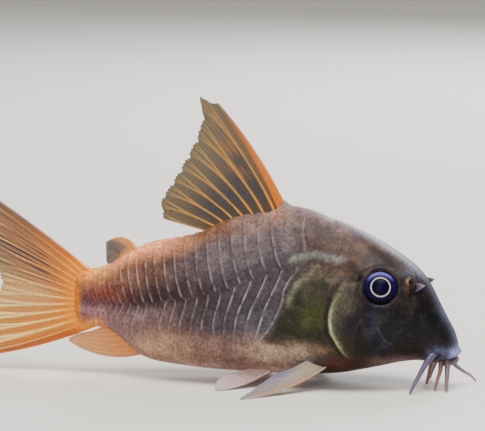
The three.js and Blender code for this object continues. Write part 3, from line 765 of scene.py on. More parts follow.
tone = lay_all(
    tone,
    # The gill cover's bright edge, and painted shade in the slit behind it.
    ((246, 248, 206), bump(behind_gill + 0.18, 0.2) * gill_share * bump(height - 8.2, 2.7)),
    ((130, 128, 104), bump(behind_gill + 0.3, 0.5) * gill_share * 0.55),
    ((10, 6, 6), bump(behind_gill - 0.3, 0.3) * gill_share * 0.85),
    # Pale ridges of bone.
    ((134, 136, 130), bump(shelf, 0.42) * step(back, 12.8, 14.8) * 0.9),
    ((98, 92, 78), bump(gill_top, 0.3) * 0.7),
    ((124, 124, 108), bump(process, 0.42) * 0.8),
    ((104, 102, 84), bump(brow, 0.28) * 0.7),
    # The shoulder's rear edge and the seams of the nape.
    ((158, 152, 152), bump(behind_shoulder + 0.08, 0.14) * shoulder_share * 0.8),
    ((152, 134, 132), bump(nape_rear, 0.13) * 0.6),
    ((132, 108, 96), bump(nape_front, 0.18) * 0.35),
    # The sockets, and the nostrils with painted shade in their pits.
    ((30, 24, 40), fall(from_eye, 2.2, 3.3) * 0.9),
    ((176, 164, 120),
     bump(from_nostril - 0.5, 0.2) * step(back, 5.5, 5.8) * step(height, 13.3, 13.8) * 0.6),
    ((16, 12, 14), fall(from_nostril, 0.15, 0.45) * 0.9),
)
print("fine strokes laid")

# %% [markdown]
# ## The finish of the skin
#
# The zones come in as the attribute `tone`. The shader adds what is too fine for the grid: the pale
# free edge of each plate with its shade behind it, the fine upright streaks of the lower flank, warm
# patches on the head, a net on the cheek, a mottling of small dark cells and a pebbled bump. Living
# skin is wet, so a thin clear coat lies over it.

# %% The skin's finish
SHADE = paint(46, 34, 34)
STREAKS_A_PLATE = 5.0

skin_finish = Finish("slate_skin", roughness=0.48, coat=0.05, coat_roughness=0.2, specular=0.14)
count = skin_finish.attribute("scute")
length = skin_finish.attribute("scute_length")
share = skin_finish.attribute("scute_share")
part_way = skin_finish.math("FRACT", count)
to_edge = skin_finish.times(skin_finish.math("SUBTRACT", 1.0, part_way), length)
from_edge = skin_finish.times(part_way, length)
edge = skin_finish.ramp(to_edge, 0.04, 0.46, 1.0, 0.0)
under_edge = skin_finish.ramp(from_edge, 0.05, 0.5, 1.0, 0.0)
patchy = skin_finish.ramp(skin_finish.noise(0.9, 3.0), 0.36, 0.62, 0.16, 1.0)

base = skin_finish.attribute("tone", "Color")
mottle = skin_finish.noise(2.6, 4.0, roughness=0.65)
streaks = skin_finish.noise(1.0, 2.0, stretch=(2.0, 1.0, 0.3))
stripe = skin_finish.math("FRACT", skin_finish.times(count, STREAKS_A_PLATE))
stripe = skin_finish.math("ABSOLUTE", skin_finish.math("SUBTRACT", stripe, 0.5))
stripe = skin_finish.ramp(stripe, 0.08, 0.42)
clouds = skin_finish.noise(0.55, 3.0)
base = skin_finish.mix(skin_finish.ramp(clouds, 0.48, 0.7, 0.0, 0.03), base, paint(180, 172, 170))
patches = skin_finish.ramp(skin_finish.noise(0.9, 4.0, roughness=0.6), 0.42, 0.7, 0.0, 0.26)
base = skin_finish.mix(
    skin_finish.times(patches, skin_finish.attribute("warm")), base, paint(150, 118, 94))
net = skin_finish.ramp(skin_finish.noise(2.0, 3.0, roughness=0.6), 0.5, 0.68, 0.0, 0.15)
base = skin_finish.mix(
    skin_finish.times(net, skin_finish.attribute("cheek")), base, paint(98, 92, 92))
base = skin_finish.mix(1.0, base, skin_finish.ramp(mottle, 0.3, 0.7, 1.38, 0.58), "MULTIPLY")
base = skin_finish.mix(1.0, base, skin_finish.ramp(clouds, 0.3, 0.7, 0.78, 1.22), "MULTIPLY")
streak_share = skin_finish.times(
    skin_finish.ramp(streaks, 0.3, 0.6), skin_finish.attribute("streak"), stripe, 0.55)
base = skin_finish.mix(streak_share, base, paint(104, 78, 68))
base = skin_finish.mix(skin_finish.times(under_edge, share, 0.2), base, SHADE)
edge_share = skin_finish.times(edge, share, patchy, 0.75)
base = skin_finish.mix(edge_share, base, skin_finish.attribute("edge_tone", "Color"))
skin_finish.put("Base Color", base)
skin_finish.raise_by(skin_finish.math("ADD", skin_finish.noise(5.0, 3.0), mottle), 0.05, 0.6)
print("nodes in the skin's finish:", len(skin_finish.nodes))

# %% The skin
warm = head_zone * step(height, 9, 16) * (1 - 0.6 * spot(9.0, 16.0, 2.4, 1.2))
cheek = head_zone * fall(height, 12.0, 14.5) * step(height, 4.0, 6.0) * step(back, 2.0, 5.0)
streak = fall(height, 6.2, 8.0) * step(back, 19, 23) * 0.7 + (~upper_row) * step(back, 41, 45) * 0.5
edge_fade = np.where(upper_row, 1 - 0.65 * step(upper_share, 0.7, 1.0), step(height, 4.8, 7.6))
edge_tone = lay_all(
    wash((172, 160, 164)),
    ((226, 180, 150), step(back, 32, 44) * step(upper_share, 0.1, 0.5)),
    # Painted highlights: the plate edges whiten on the front of the lower row.
    ((206, 208, 214), spot(24.5, 10.3, 3.2, 2.2)),
    ((186, 140, 140), step(back, 42, 46)),
)
skin = closed_tube("skin", skin_points, {
    "tone": tone,
    "scute": number,
    "scute_length": plate_length,
    "scute_share": scute_share * edge_fade * (1 - 0.55 * step(back, 45.5, 49)),
    "streak": streak.clip(0, 1),
    "warm": warm.clip(0, 1),
    "cheek": cheek.clip(0, 1),
    "edge_tone": edge_tone,
}, skin_finish.material)
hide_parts("head", "trunk", "tail", "gill_cover_right", "gill_cover_left")
print("skin faces", len(skin.data.polygons))

# %% [markdown]
# ## Eyes
#
# A fish's eye is a flattened ball. From outside in there is a blue ring of skin, the dark iris, a thin
# bright ring and the pupil, so its colour follows the distance from the eye's axis. The blue ring has a
# painted highlight at the top and painted shade at the bottom.

# %% The eyes
def eyeball(side, name):
    """Half a flattened ball: rings at growing angles from the axis, which is square to the skin."""
    centre, axis = eye_place[side]
    centre = centre - axis * EYE_SUNK * MM
    up = np.array([0.0, 0.0, 1.0]) - axis * axis[2]
    up /= np.linalg.norm(up)
    aside = np.cross(up, axis)
    shape = (90, 96)
    from_axis = np.linspace(0.012, np.pi - 0.05, shape[0])[:, None]
    around = np.linspace(0, 2 * np.pi, shape[1], endpoint=False)[None, :]
    reach = EYE_RADIUS * np.sin(from_axis)
    rise = EYE_DEPTH * np.cos(from_axis) + 0.16 * bump(reach, 1.0) * (np.cos(from_axis) > 0)
    flat = np.cos(around)[..., None] * up + np.sin(around)[..., None] * aside
    points = centre + MM * (reach[..., None] * flat + np.broadcast_to(rise, shape)[..., None] * axis)
    ring = np.broadcast_to(np.where(np.cos(from_axis) > 0, reach, EYE_RADIUS + 0.5), shape)
    # crescent is 1 at the top of the eye and -1 at its bottom; the finish places a painted highlight and
    # painted shade by it.
    crescent = np.broadcast_to(np.cos(around), shape)
    if side > 0:
        points, ring, crescent = points[:, ::-1], ring[:, ::-1], crescent[:, ::-1]
    piece = closed_tube(name, points, {"ring": ring, "crescent": crescent}, eye_finish.material)
    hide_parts("eye_right" if side < 0 else "eye_left")


eye_finish = Finish("eye", roughness=0.45, coat=0.03, coat_roughness=0.12, specular=0.05)
ring = eye_finish.attribute("ring")
crescent = eye_finish.attribute("crescent")
# Painted highlight towards the top of the blue ring and painted shade towards its bottom.
high = eye_finish.ramp(crescent, 0.35, 0.95)
low = eye_finish.ramp(crescent, -0.9, 0.1, 1.0, 0.0)
fleck = eye_finish.ramp(eye_finish.noise(3.0, 3.0), 0.35, 0.7)
iris = eye_finish.mix(fleck, paint(16, 14, 50), paint(34, 30, 92))
blue = eye_finish.mix(high, paint(46, 38, 86), paint(128, 128, 192))
blue = eye_finish.mix(low, blue, paint(8, 6, 26))
look = eye_finish.mix(eye_finish.ramp(ring, 1.4, 1.85), iris, blue)
look = eye_finish.mix(eye_finish.ramp(ring, 1.85, 2.15), look, paint(30, 24, 60))
look = eye_finish.mix(eye_finish.ramp(ring, 1.23, 1.31, 1.0, 0.0), look, paint(206, 190, 180))
look = eye_finish.mix(eye_finish.ramp(ring, 1.08, 1.14, 1.0, 0.0), look, paint(6, 2, 52))
eye_finish.put("Base Color", look)
eyeball(-1, "right_eye")
eyeball(1, "left_eye")
print("eyes made, radius", EYE_RADIUS, "mm")

# %% [markdown]
# ## Fins
#
# A fin is a fan of bony rays with a thin skin between them. Its grid runs across the rays one way and
# from the root to the margin the other way. The rays stand out as rounded ridges, and the soft ones
# split in two on their way out. Between the rays the margin is cut in a little.

# %% The fan of a fin
def ray_ridge(u, v, rays, split_from=0.4, width=0.1):
    """1 along each ray and 0 between them; beyond split_from each soft ray parts into two, then four."""
    across = u * (rays - 1)
    nearest_ray = np.round(across)
    off = across - nearest_ray
    soft = nearest_ray > 0.5
    first, second = soft * step(v, split_from, 1.0), soft * step(v, 0.68, 1.05)
    slim = width * (1 - 0.35 * first) * (1 - 0.35 * second) * (1 - 0.25 * v)
    twigs = [a * 0.21 * first + b * 0.1 * second for a in (-1, 1) for b in (-1, 1)]
    return np.maximum.reduce([bump(off - twig, slim) for twig in twigs])


def fin_grid(rays, columns_a_ray=28, rows=80):
    """The u across the rays and v out along them for every point of a fin."""
    u = np.linspace(0, 1, (rays - 1) * columns_a_ray + 1)
    v = np.linspace(0, 1, rows)
    return np.meshgrid(u, v)


def scallop(u, v, rays, depth):
    """How far out a point lies along its ray: the skin between two rays stops a little short."""
    off = np.abs(u * (rays - 1) - np.round(u * (rays - 1)))
    lobe = step(off, 0.25, 0.5) * step(u, 0.09, 0.12)
    nibble = 0.25 * (1 + np.sin(u * (rays - 1) * 26)) * step(u, 0.03, 0.1)
    return v * (1 - depth * (lobe + nibble) * v ** 5)


def fin_half(u, v, ridge, root, ray, film=0.045):
    """Half the thickness in millimetres: a thin film, raised over the rays and fleshy at the root."""
    thin_out = 1 - 0.6 * v
    margin = 1 - 0.75 * step(v, 0.96, 1.0)
    return (film + ray * ridge * thin_out + root * fall(v, 0.0, 0.22)) * margin


print("a fin's grid of 9 rays has", fin_grid(9)[0].size, "points")

# %% The finish of a fin
def fin_finish(name, clearness):
    """Rays and film from the attributes tone and film; clearness is how much shows through the film."""
    finish = Finish(name, roughness=0.5, coat=0.04, coat_roughness=0.2, specular=0.2)
    colour = finish.attribute("tone", "Color")
    grain = finish.noise(3.0, 3.0, roughness=0.6)
    colour = finish.mix(finish.ramp(grain, 0.45, 0.75, 0.0, 0.3), colour, paint(60, 42, 36))
    joints = finish.ramp(finish.math("FRACT", finish.attribute("joint")), 0.78, 0.96)
    rays = finish.attribute("ray")
    colour = finish.mix(finish.times(joints, rays, 0.22), colour, paint(120, 60, 24))
    finish.put("Base Color", colour)
    film = finish.times(finish.attribute("film"), clearness)
    finish.put("Alpha", finish.math("SUBTRACT", 1.0, film))
    finish.raise_by(finish.math("ADD", grain, finish.times(joints, rays)), 0.03, 0.5)
    return finish.material


orange_fin = fin_finish("orange_fin", 0.12)
pale_fin = fin_finish("pale_fin", 0.2)
print("finishes of the orange and the pale fins made")

# %% A fin of the middle plane
def fin_tone(u, v, ridge, film_colours, ray_colours):
    """Film and ray colours, each a root and a margin colour, mixed by how much ray there is.

    Faint streaks run along the film."""
    film = lay(paint(*film_colours[0]), film_colours[1], v)
    film = film * (1 + 0.2 * np.sin(u * 300 + 1.5 * np.sin(9 * v)) * step(v, 0.1, 0.4))[..., None]
    ray = lay(paint(*ray_colours[0]), ray_colours[1], v)
    return blend(film, ray, np.clip(ridge * 1.15, 0, 1)[..., None])


RAY_JOINT = 0.45


def fin_attributes(v, ridge, length, tone):
    """What the finish of a fin reads: its colours, its rays, their joints and how clear its film is."""
    return {"tone": tone, "ray": ridge, "joint": v * length / RAY_JOINT,
            "film": (1 - ridge) * step(v, 0.05, 0.3)}


def middle_fin(name, node, rays, root, margin, bow, half, finish, colours, depth=0.03, width=0.1):
    """A fin in the middle plane between two curves of (back, height), its rays bowed by a parabola."""
    u, v = fin_grid(rays)
    ridge = ray_ridge(u, v, rays, width=width)
    reach = scallop(u, v, rays, depth)
    root_back, root_height = root(u)
    tip_back, tip_height = margin(u)
    along_back, along_height = tip_back - root_back, tip_height - root_height
    length = np.hypot(along_back, along_height)
    bend = bow(u) * 4 * v * (1 - v) / length
    points = place(root_back + along_back * reach - along_height * bend, 0 * u,
                   root_height + along_height * reach + along_back * bend)
    attributes = fin_attributes(v, ridge, length, colours(u, v, ridge))
    piece = plate(name, points, half(u, v, ridge) * MM, attributes, finish)
    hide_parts(node)


print("rays have a joint every", RAY_JOINT, "mm")

# %% [markdown]
# ## The dorsal fin
#
# The dorsal fin stands up like a sail. Its front edge is a thick orange spine, and eight soft rays fan
# out behind it, with slate film between them near the root and a golden glow behind the spine.

# %% The dorsal fin
ROOT_SUNK = 0.8


def along_back(first, last, sunk=ROOT_SUNK, crowding=0.0):
    """The root line of a fin on the back, sunk a little into it; crowding draws its rays to the rear."""
    def line(u):
        """The (back, height) of the root at each u."""
        where = blend(first, last, u * (1 + crowding - crowding * u))
        return where, back_line(where) - sunk
    return line


def knots(*rows):
    """A curve over u for each number after the u in rows like (u, back, height)."""
    lines = [curve(*((row[0], row[k]) for row in rows)) for k in range(1, len(rows[0]))]
    return lambda u: [line(u) for line in lines]


dorsal_margin = knots(
    (0, 31.25, 35.4), (0.05, 31.85, 35.35), (0.12, 33.8, 36.35), (0.2, 33.5, 33.4), (0.3, 34.2, 31.0),
    (0.5, 35.9, 27.6), (0.7, 37.5, 24.9), (0.88, 38.9, 22.4), (1, 38.6, 20.4))


def spine_share(u, v):
    """1 on the front spine, which is a millimetre broad at the root and a third of that at its tip."""
    return fall(u, blend(0.075, 0.03, v), blend(0.105, 0.05, v))


def dorsal_tone(u, v, ridge):
    """Slate and a golden glow between the rays, an orange spine and a painted highlight along the front
    edge.
    """
    slate = (1 - ridge) * bump(v - 0.34, 0.3) * step(u, 0.08, 0.16) * fall(u, 0.7, 1.0)
    glow = step(np.sin(u * 71 + 9 * v) * np.sin(u * 113 - 14 * v + 1), -0.1, 0.5) * bump(u - 0.2, 0.09)
    glow = glow * step(v, 0.25, 0.5) * fall(v, 0.72, 0.95)
    tone = lay_all(
        fin_tone(u, v, ridge, ((118, 98, 78), (132, 120, 100)), ((238, 178, 14), (158, 142, 112))),
        ((60, 66, 80), slate * 0.8),
        ((206, 146, 0), glow * 0.34),
    )
    spine_tone = lay_all(
        paint(214, 138, 0), ((190, 122, 62), step(v, 0.35, 0.7)), ((140, 122, 92), step(v, 0.7, 0.95)))
    return lay_all(
        blend(tone, spine_tone, spine_share(u, v)[..., None]),
        ((150, 118, 98), fall(v + 0.6 * u, 0.05, 0.11) * 0.8),
        # Painted highlight along the spine's front edge.
        ((196, 160, 164), fall(u, 0.0, 0.02) * step(v, 0.25, 0.6) * 0.7),
    )


def dorsal_half(u, v, ridge):
    """Half the thickness with the spine's added, and the front edge brought to a thin rim."""
    spine = spine_share(u, v) * 0.3 * (1 - 0.75 * v)
    edge = 1 - 0.7 * bump(u, 0.01)
    return (fin_half(u, v, ridge, 0.28, 0.12) + spine) * edge


middle_fin("dorsal_sail", "dorsal_fin", 9, along_back(22.1, 32.2, crowding=0.15),
           dorsal_margin, lambda u: 0.65 * (1 - u), dorsal_half, orange_fin, dorsal_tone)
print("dorsal fin made")

# %% [markdown]
# ## The adipose fin
#
# The small fin behind it is a short spine with a scrap of clear grey skin.

# %% The adipose fin
adipose_margin = knots((0, 45.2, 17.7), (0.4, 46.3, 17.0), (1, 46.2, 14.6))


def adipose_tone(u, v, ridge):
    """Clear grey skin behind a tan spine and root, with a pale margin."""
    tan = np.maximum(fall(u, 0.1, 0.3), fall(v, 0.1, 0.4) - 0.3 * u)
    return lay_all(
        paint(140, 116, 96),
        ((122, 112, 106), v),
        ((240, 178, 112), tan * 0.9),
        ((206, 190, 184), step(v, 0.88, 1.0) * 0.5),
    )


def adipose_half(u, v, ridge):
    """Half the thickness: an even film, a bell curve over the spine, and a fleshy root."""
    return 0.07 + 0.22 * bump(u - 0.03, 0.07) * (1 - 0.6 * v) + 0.22 * fall(v, 0, 0.3)


middle_fin("adipose_flap", "adipose_fin", 3, along_back(42.0, 45.7, 0.5), adipose_margin,
           lambda u: 0.8 * (1 - u), adipose_half, pale_fin, adipose_tone, depth=0.0)
print("adipose fin made")

# %% [markdown]
# ## The tail fin
#
# The tail fin is forked, with the lower lobe a little longer. It is orange at its root, its lower rays
# are pale and bright, and grey-blue film shows between the rays of the upper lobe.

# %% The tail fin
tail_margin = knots(
    (0, 62, 22.9), (0.07, 64.2, 23.3), (0.2, 63.4, 19.6), (0.35, 61.8, 15.3), (0.5, 60.5, 11.4),
    (0.65, 61.9, 7.9), (0.8, 63.6, 4.5), (0.93, 64.7, 1.6), (1, 62.4, 1.7))


def tail_root(u):
    """The root line bulges back in the middle and reaches forward under the tail stalk."""
    return blend(50.0, 48.4, np.abs(2 * u - 1) ** 2.5) - 1.2 * u ** 8, blend(13.4, 6.3, u)


def tail_tone(u, v, ridge):
    """A pale bright lower lobe, a darker upper one with rippled slate film, an orange root, and a painted
    highlight along the upper edge.
    """
    lower = fin_tone(u, v, ridge, ((230, 150, 30), (204, 152, 84)), ((255, 214, 120), (255, 236, 186)))
    upper = fin_tone(u, v, ridge, ((222, 146, 40), (122, 120, 106)), ((242, 170, 66), (214, 176, 128)))
    ripple = np.sin(u * 128 + 2 * v) * np.sin(u * 47 + 1.3) + 0.5 * np.sin(u * 211 - 3 * v)
    slate = (1 - 0.35 * ridge) * bump(u - 0.25, 0.22) * step(v, 0.1 + 0.15 * np.sin(u * 60) ** 2, 0.42)
    tone = lay_all(
        blend(lower, upper, fall(u, 0.38, 0.56)[..., None]),
        ((222, 188, 144), bump(u - 0.52, 0.12) * step(v, 0.15, 0.5) * 0.6),
        ((58, 66, 86), slate * step(ripple, -0.15, 0.35)),
    )
    rim_tone = lay(paint(214, 138, 50), (140, 108, 82), step(v, 0.25, 0.6))
    return lay_all(
        blend(tone, rim_tone, (fall(u, 0.02, 0.14) * 0.65)[..., None]),
        # Painted highlight along the upper edge.
        ((198, 176, 186), fall(u, 0.0, 0.02) * step(v, 0.1, 0.4) * 0.7),
        ((188, 98, 8), step(u, 0.84, 0.98) * 0.8),
        ((242, 174, 84), fall(v, 0.04, 0.26) * 0.8),
    )


def tail_half(u, v, ridge):
    """Half the thickness, with a bell curve more along the upper and the lower rim."""
    rims = bump(u, 0.03) + bump(u - 1, 0.03)
    return fin_half(u, v, ridge, 0.5, 0.15) + 0.1 * rims * (1 - 0.6 * v)


middle_fin("tail_fan", "tail_fin", 14, tail_root, tail_margin,
           lambda u: blend(0.25, -0.5, u), tail_half, orange_fin, tail_tone, depth=0.02, width=0.15)
print("tail fin made")

# %% [markdown]
# ## The anal fin
#
# Under the tail stalk the anal fin sweeps back, pale orange and nearly clear.

# %% The anal fin
anal_margin = knots((0, 50.4, 3.5), (0.18, 51.5, 4.2), (0.5, 50.6, 4.9), (1, 48.3, 5.5))


def anal_root(u):
    """The root line runs along the belly line, sunk a little into it."""
    where = blend(40.4, 45.6, u)
    return where, belly_line(where) + ROOT_SUNK


def anal_tone(u, v, ridge):
    """Pale orange all over, with a paler front edge."""
    tone = fin_tone(u, v, ridge, ((230, 162, 100), (222, 176, 136)), ((250, 206, 144), (244, 206, 160)))
    return lay(tone, (232, 190, 160), fall(u, 0, 0.1) * 0.6)


def anal_half(u, v, ridge):
    """Half the thickness, with a bell curve more along the front ray."""
    return fin_half(u, v, ridge, 0.25, 0.12) + 0.12 * bump(u, 0.06) * (1 - v)


middle_fin("anal_fan", "anal_fin", 8, anal_root, anal_margin,
           lambda u: -1.1 * (1 - u), anal_half, orange_fin, anal_tone)
print("anal fin made")

# %% [markdown]
# ## The paired fins
#
# The pectoral and pelvic fins prop the fish up. Each is a plate between a root line on the body and a
# margin that comes down to the ground. The left ones are the right ones in a mirror.

# %% A pair of fins
def paired_fin(names, nodes, rays, root, margin, sag, half, colours):
    """Two fins, right and left, between lines of (back, out, height), hanging by a parabola."""
    u, v = fin_grid(rays)
    ridge = ray_ridge(u, v, rays)
    reach = scallop(u, v, rays, 0.03)[..., None]
    base, tip = np.stack(root(u), -1), np.stack(margin(u), -1)
    where = blend(base, tip, reach)
    length = np.linalg.norm(tip - base, axis=-1)
    drop = blend(*sag, u) * 4 * v * (1 - v)
    thick = half(u, v, ridge)
    # Where the fin comes down to the ground, its middle stays half its thickness above it.
    low = np.maximum(where[..., 2] + drop, thick * 0.92 + 0.01)
    attributes = fin_attributes(v, ridge, length, colours(u, v, ridge))
    for name, node, side in zip(names, nodes, (-1, 1)):
        points = place(where[..., 0], side * where[..., 1], low)
        grid, values, thickness = points, attributes, thick
        if side > 0:
            grid, thickness = points[:, ::-1], thick[:, ::-1]
            values = {key: value[:, ::-1] for key, value in attributes.items()}
        piece = plate(name, grid, thickness * MM, values, pale_fin)
        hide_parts(node)


print("rows and columns of a fin with 8 rays:", fin_grid(8)[0].shape)

# %% Pectoral and pelvic fins
def pectoral_tone(u, v, ridge):
    """Pale film, warm behind the spine and cool towards the rear margin."""
    return lay_all(
        fin_tone(u, v, ridge, ((214, 200, 170), (160, 156, 170)), ((228, 216, 186), (186, 176, 184))),
        ((200, 152, 104), bump(u - 0.08, 0.12) * step(v, 0.15, 0.35) * fall(v, 0.7, 1.0) * 0.6),
        ((140, 138, 166), step(u, 0.55, 0.9) * step(v, 0.3, 0.7) * 0.7),
        ((196, 178, 172), bump(u - 0.3, 0.06) * 0.4),
    )


def pectoral_half(u, v, ridge):
    """Half the thickness with the strong spine's added, and the front edge thinned."""
    spine = fall(u, 0.03, 0.12) * 0.26 * (1 - 0.7 * v)
    return fin_half(u, v, ridge, 0.3, 0.12) + spine * (1 - 0.6 * bump(u, 0.012))


def pelvic_tone(u, v, ridge):
    """A pale grey-pink film between paler rays."""
    return fin_tone(u, v, ridge, ((210, 184, 176), (206, 192, 194)), ((228, 200, 188), (222, 204, 206)))


def pelvic_half(u, v, ridge):
    """Half the thickness, with a bell curve more along the front ray."""
    return fin_half(u, v, ridge, 0.3, 0.11) + 0.1 * bump(u, 0.06) * (1 - v)


paired_fin(
    ("right_pectoral", "left_pectoral"), ("pectoral_fin_right", "pectoral_fin_left"), 8,
    knots((0, 14.8, 4.2, 3.7), (1, 16.6, 5.2, 5.0)),
    knots((0, 24.3, 14.7, 0.12), (0.12, 24.6, 14.1, 0.15), (0.5, 23.3, 11.7, 1.1), (1, 21.4, 8.9, 2.5)),
    (-0.95, -0.4), pectoral_half, pectoral_tone)
paired_fin(
    ("right_pelvic", "left_pelvic"), ("pelvic_fin_right", "pelvic_fin_left"), 6,
    knots((0, 23.0, 3.7, 2.2), (1, 24.7, 3.9, 2.5)),
    knots((0, 28.6, 9.2, 0.1), (0.2, 29.4, 8.7, 0.12), (0.6, 29.6, 7.2, 0.8), (1, 29.0, 5.3, 1.6)),
    (-0.4, -0.15), pelvic_half, pelvic_tone)
print("paired fins made")

# %% [markdown]
# ## Barbels
#
# The mouth carries soft feelers that reach the ground. Each is a tapering tube along a curve through a
# few points, with faint rings along it, and the near front one hangs straight down.

# %% A tapering tube along a path
def smooth_path(points, count):
    """A curve through all points, each coordinate a cubic over the distance along the points."""
    points = np.array(points, float)
    far = np.concatenate([[0], np.cumsum(np.linalg.norm(np.diff(points, axis=0), axis=1))])
    at = np.linspace(0, far[-1], count)
    lines = [curve(*zip(far, points[:, k])) for k in range(3)]
    return np.stack([line(at) for line in lines], axis=-1)


def feeler(name, node, side, points, root_radius, tip_radius, colours):
    """A tube: rings square to the path, whose radius falls from root to tip and closes round it."""
    rows, columns = 70, 28
    path = smooth_path(points, rows) * (1, side, 1)
    spots = place(path[:, 0], path[:, 1], path[:, 2])
    along = np.gradient(spots, axis=0)
    along /= np.linalg.norm(along, axis=1, keepdims=True)
    aside = np.cross(along, (0.0, 1.0, 0.0) if abs(along[0, 1]) < 0.8 else (1.0, 0.0, 0.0))
    aside /= np.linalg.norm(aside, axis=1, keepdims=True)
    across = np.cross(along, aside)
    t = np.linspace(0, 1, rows)
    close = np.sqrt(1 - np.clip((t - 0.95) / 0.05, 0, 1) ** 2).clip(0.05)
    radius = blend(root_radius, tip_radius, t ** 0.8) * (1 + 0.035 * np.sin(t * 95)) * close
    around = np.linspace(0, 2 * np.pi, columns, endpoint=False)
    circle = np.cos(around)[:, None] * aside[:, None] + np.sin(around)[:, None] * across[:, None]
    tube = spots[:, None] + circle * (radius * MM)[:, None, None]
    tube[..., 2] = np.maximum(tube[..., 2], 0.0)
    far = np.broadcast_to(t[:, None], (rows, columns))
    tone = lay(paint(*colours[0]), colours[1], far)
    piece = closed_tube(name, tube[:, ::-1], {"tone": tone}, barbel_finish.material)
    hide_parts(node)


print("three places on a straight path:", smooth_path([(0, 0, 0), (2, 0, 0)], 3).tolist())

# %% Barbels
barbel_finish = Finish("barbel_skin", roughness=0.4, coat=0.25, coat_roughness=0.2, specular=0.4)
soft = barbel_finish.noise(3.0, 3.0)
cloudy = barbel_finish.ramp(soft, 0.4, 0.7, 0.0, 0.45)
barbel_finish.put("Base Color", barbel_finish.mix(
    cloudy, barbel_finish.attribute("tone", "Color"), paint(78, 66, 96)))
barbel_finish.raise_by(soft, 0.03, 0.5)

SWEPT_BACK = [(1.8, 1.6, 5.6), (2.8, 3.05, 4.6), (3.5, 3.9, 3.5), (4.0, 4.6, 2.4), (4.6, 5.4, 1.1),
              (5.0, 5.9, 0.1)]
HANGING = [(1.1, 1.5, 4.0), (1.0, 2.1, 3.0), (0.95, 2.5, 1.9), (0.95, 2.9, 0.1)]
REACHING = [(1.4, 1.3, 3.7), (0.7, 2.4, 2.5), (0.0, 3.5, 1.7), (-0.7, 4.6, 1.0), (-1.2, 5.6, 0.1)]
CHIN_RIGHT = [(1.9, 1.5, 3.9), (1.9, 1.9, 2.9), (2.2, 2.3, 1.5), (2.5, 2.6, 0.1)]
CHIN_LEFT = [(3.2, 1.0, 3.9), (3.7, 1.2, 2.9), (4.1, 1.5, 1.6), (4.5, 1.8, 0.1)]
SLATE, BROWN = ((92, 92, 118), (128, 112, 140)), ((128, 104, 96), (170, 132, 110))
DUSKY, PINK = ((122, 112, 120), (160, 136, 128)), ((104, 88, 118), (180, 164, 172))
feeler("right_upper_barbel", "barbel_upper_right", -1, SWEPT_BACK, 0.6, 0.17, SLATE)
feeler("left_upper_barbel", "barbel_upper_left", 1, SWEPT_BACK, 0.6, 0.17, SLATE)
feeler("right_lower_barbel", "barbel_lower_right", -1, HANGING, 0.42, 0.2, DUSKY)
feeler("left_lower_barbel", "barbel_lower_left", 1, REACHING, 0.32, 0.13, PINK)
feeler("right_chin_barbel", "barbel_chin_right", -1, CHIN_RIGHT, 0.36, 0.17, BROWN)
feeler("left_chin_barbel", "barbel_chin_left", 1, CHIN_LEFT, 0.36, 0.17, BROWN)
print("barbels made")

# %% [markdown]
# ## The nostril flaps
#
# In front of each nostril a small flap of skin stands up and steers water into it. It is a leaf: a grid
# from a short root line to a narrow tip, cupped towards the pit.

# %% The nostril flaps
FLAP_BACK = 4.75
FLAP_HEIGHT = 13.15


def nostril_flap(side, name):
    """A leaf that narrows from its root to its tip and stands off the skin."""
    root, normal = on_skin(FLAP_BACK, FLAP_HEIGHT, side)
    forward = np.array([1.0, 0.0, 0.25])
    forward -= normal * (forward @ normal)
    forward /= np.linalg.norm(forward)
    sideways = np.cross(normal, forward)
    u, v = np.meshgrid(np.linspace(-1, 1, 25), np.linspace(0, 1, 25))
    wide = 0.55 * (1 - v ** 1.6) + 0.05
    cupped = 0.25 * (u * wide / 0.6) ** 2
    lift_off = blend(-0.25, 0.85, v) + cupped * 0.5
    onward = blend(-0.1, 0.6, v ** 1.2) - cupped
    leaf = sideways * (u * wide)[..., None] + normal * lift_off[..., None] + forward * onward[..., None]
    half = (0.11 * (1 - 0.6 * v) * (1 - 0.5 * np.abs(u) ** 3)) * MM
    tone = lay(paint(60, 60, 84), (176, 158, 168), v ** 2)
    return plate(name, root + MM * leaf, half, {"tone": tone}, barbel_finish.material)


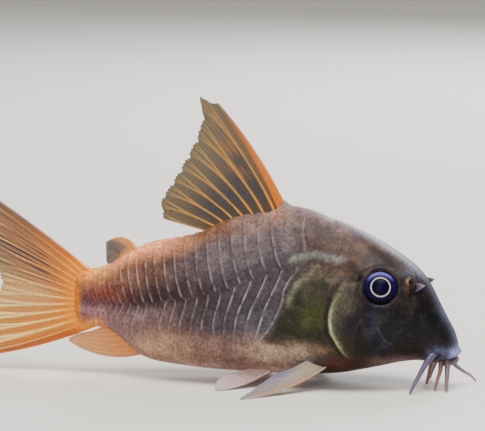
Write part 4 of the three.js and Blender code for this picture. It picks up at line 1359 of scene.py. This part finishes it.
for side, name in ((-1, "right_nostril_flap"), (1, "left_nostril_flap")):
    nostril_flap(side, name)
print("nostril flaps made")

# %% [markdown]
# ## Floor and light
#
# A still studio: a pale floor that curves up into the backdrop without an edge, a broad soft light
# above and a little ahead, weaker ones from the camera's side and from behind, and a pale surround
# that fills the rest.

# %% Floor and backdrop
def studio_floor():
    """A sheet that runs flat from the front and bends up in a quarter circle behind the fish."""
    bend, rise = 0.35, 1.6
    flat = np.linspace(-3.0, 0.9, 12)
    arc = np.linspace(0, np.pi / 2, 24)[1:]
    y = np.concatenate([flat, flat[-1] + bend * np.sin(arc), [flat[-1] + bend]])
    z = np.concatenate([0 * flat, bend * (1 - np.cos(arc)), [rise]])
    x = np.linspace(-3.0, 3.0, 3)
    grid = np.stack(np.broadcast_arrays(x[None, :], y[:, None], z[:, None]), axis=-1)
    paper = Finish("studio_paper", roughness=0.85, specular=0.1)
    paper.put("Base Color", tint(226, 222, 214))
    return mesh_piece("studio_floor", grid.reshape(-1, 3), [grid_quads(len(y), 3)], {}, paper.material)


floor = studio_floor()


def soft_light(name, position, size, power, colour=(1.0, 1.0, 1.0)):
    """A square area light at a place in metres, turned to the fish."""
    lamp = bpy.data.lights.new(name, "AREA")
    lamp.size = size
    lamp.energy = power
    lamp.color = colour
    holder = bpy.data.objects.new(name, lamp)
    bpy.context.scene.collection.objects.link(holder)
    holder.location = position
    holder.rotation_euler = (-holder.location).to_track_quat("-Z", "Y").to_euler()


soft_light("light_above", (0.12, -0.16, 0.62), 0.4, 6.6, (1.0, 0.98, 0.95))
soft_light("light_camera_side", (0.1, -0.6, 0.25), 0.4, 2.2)
soft_light("light_behind", (0.05, 0.5, 0.3), 0.3, 3.4, (0.92, 0.94, 1.0))
world = bpy.data.worlds.new("surround")
bpy.context.scene.world = world
world.use_nodes = True
world.node_tree.nodes["Background"].inputs["Color"].default_value = (0.92, 0.94, 1.0, 1.0)
world.node_tree.nodes["Background"].inputs["Strength"].default_value = 0.35
print("floor and lights set")
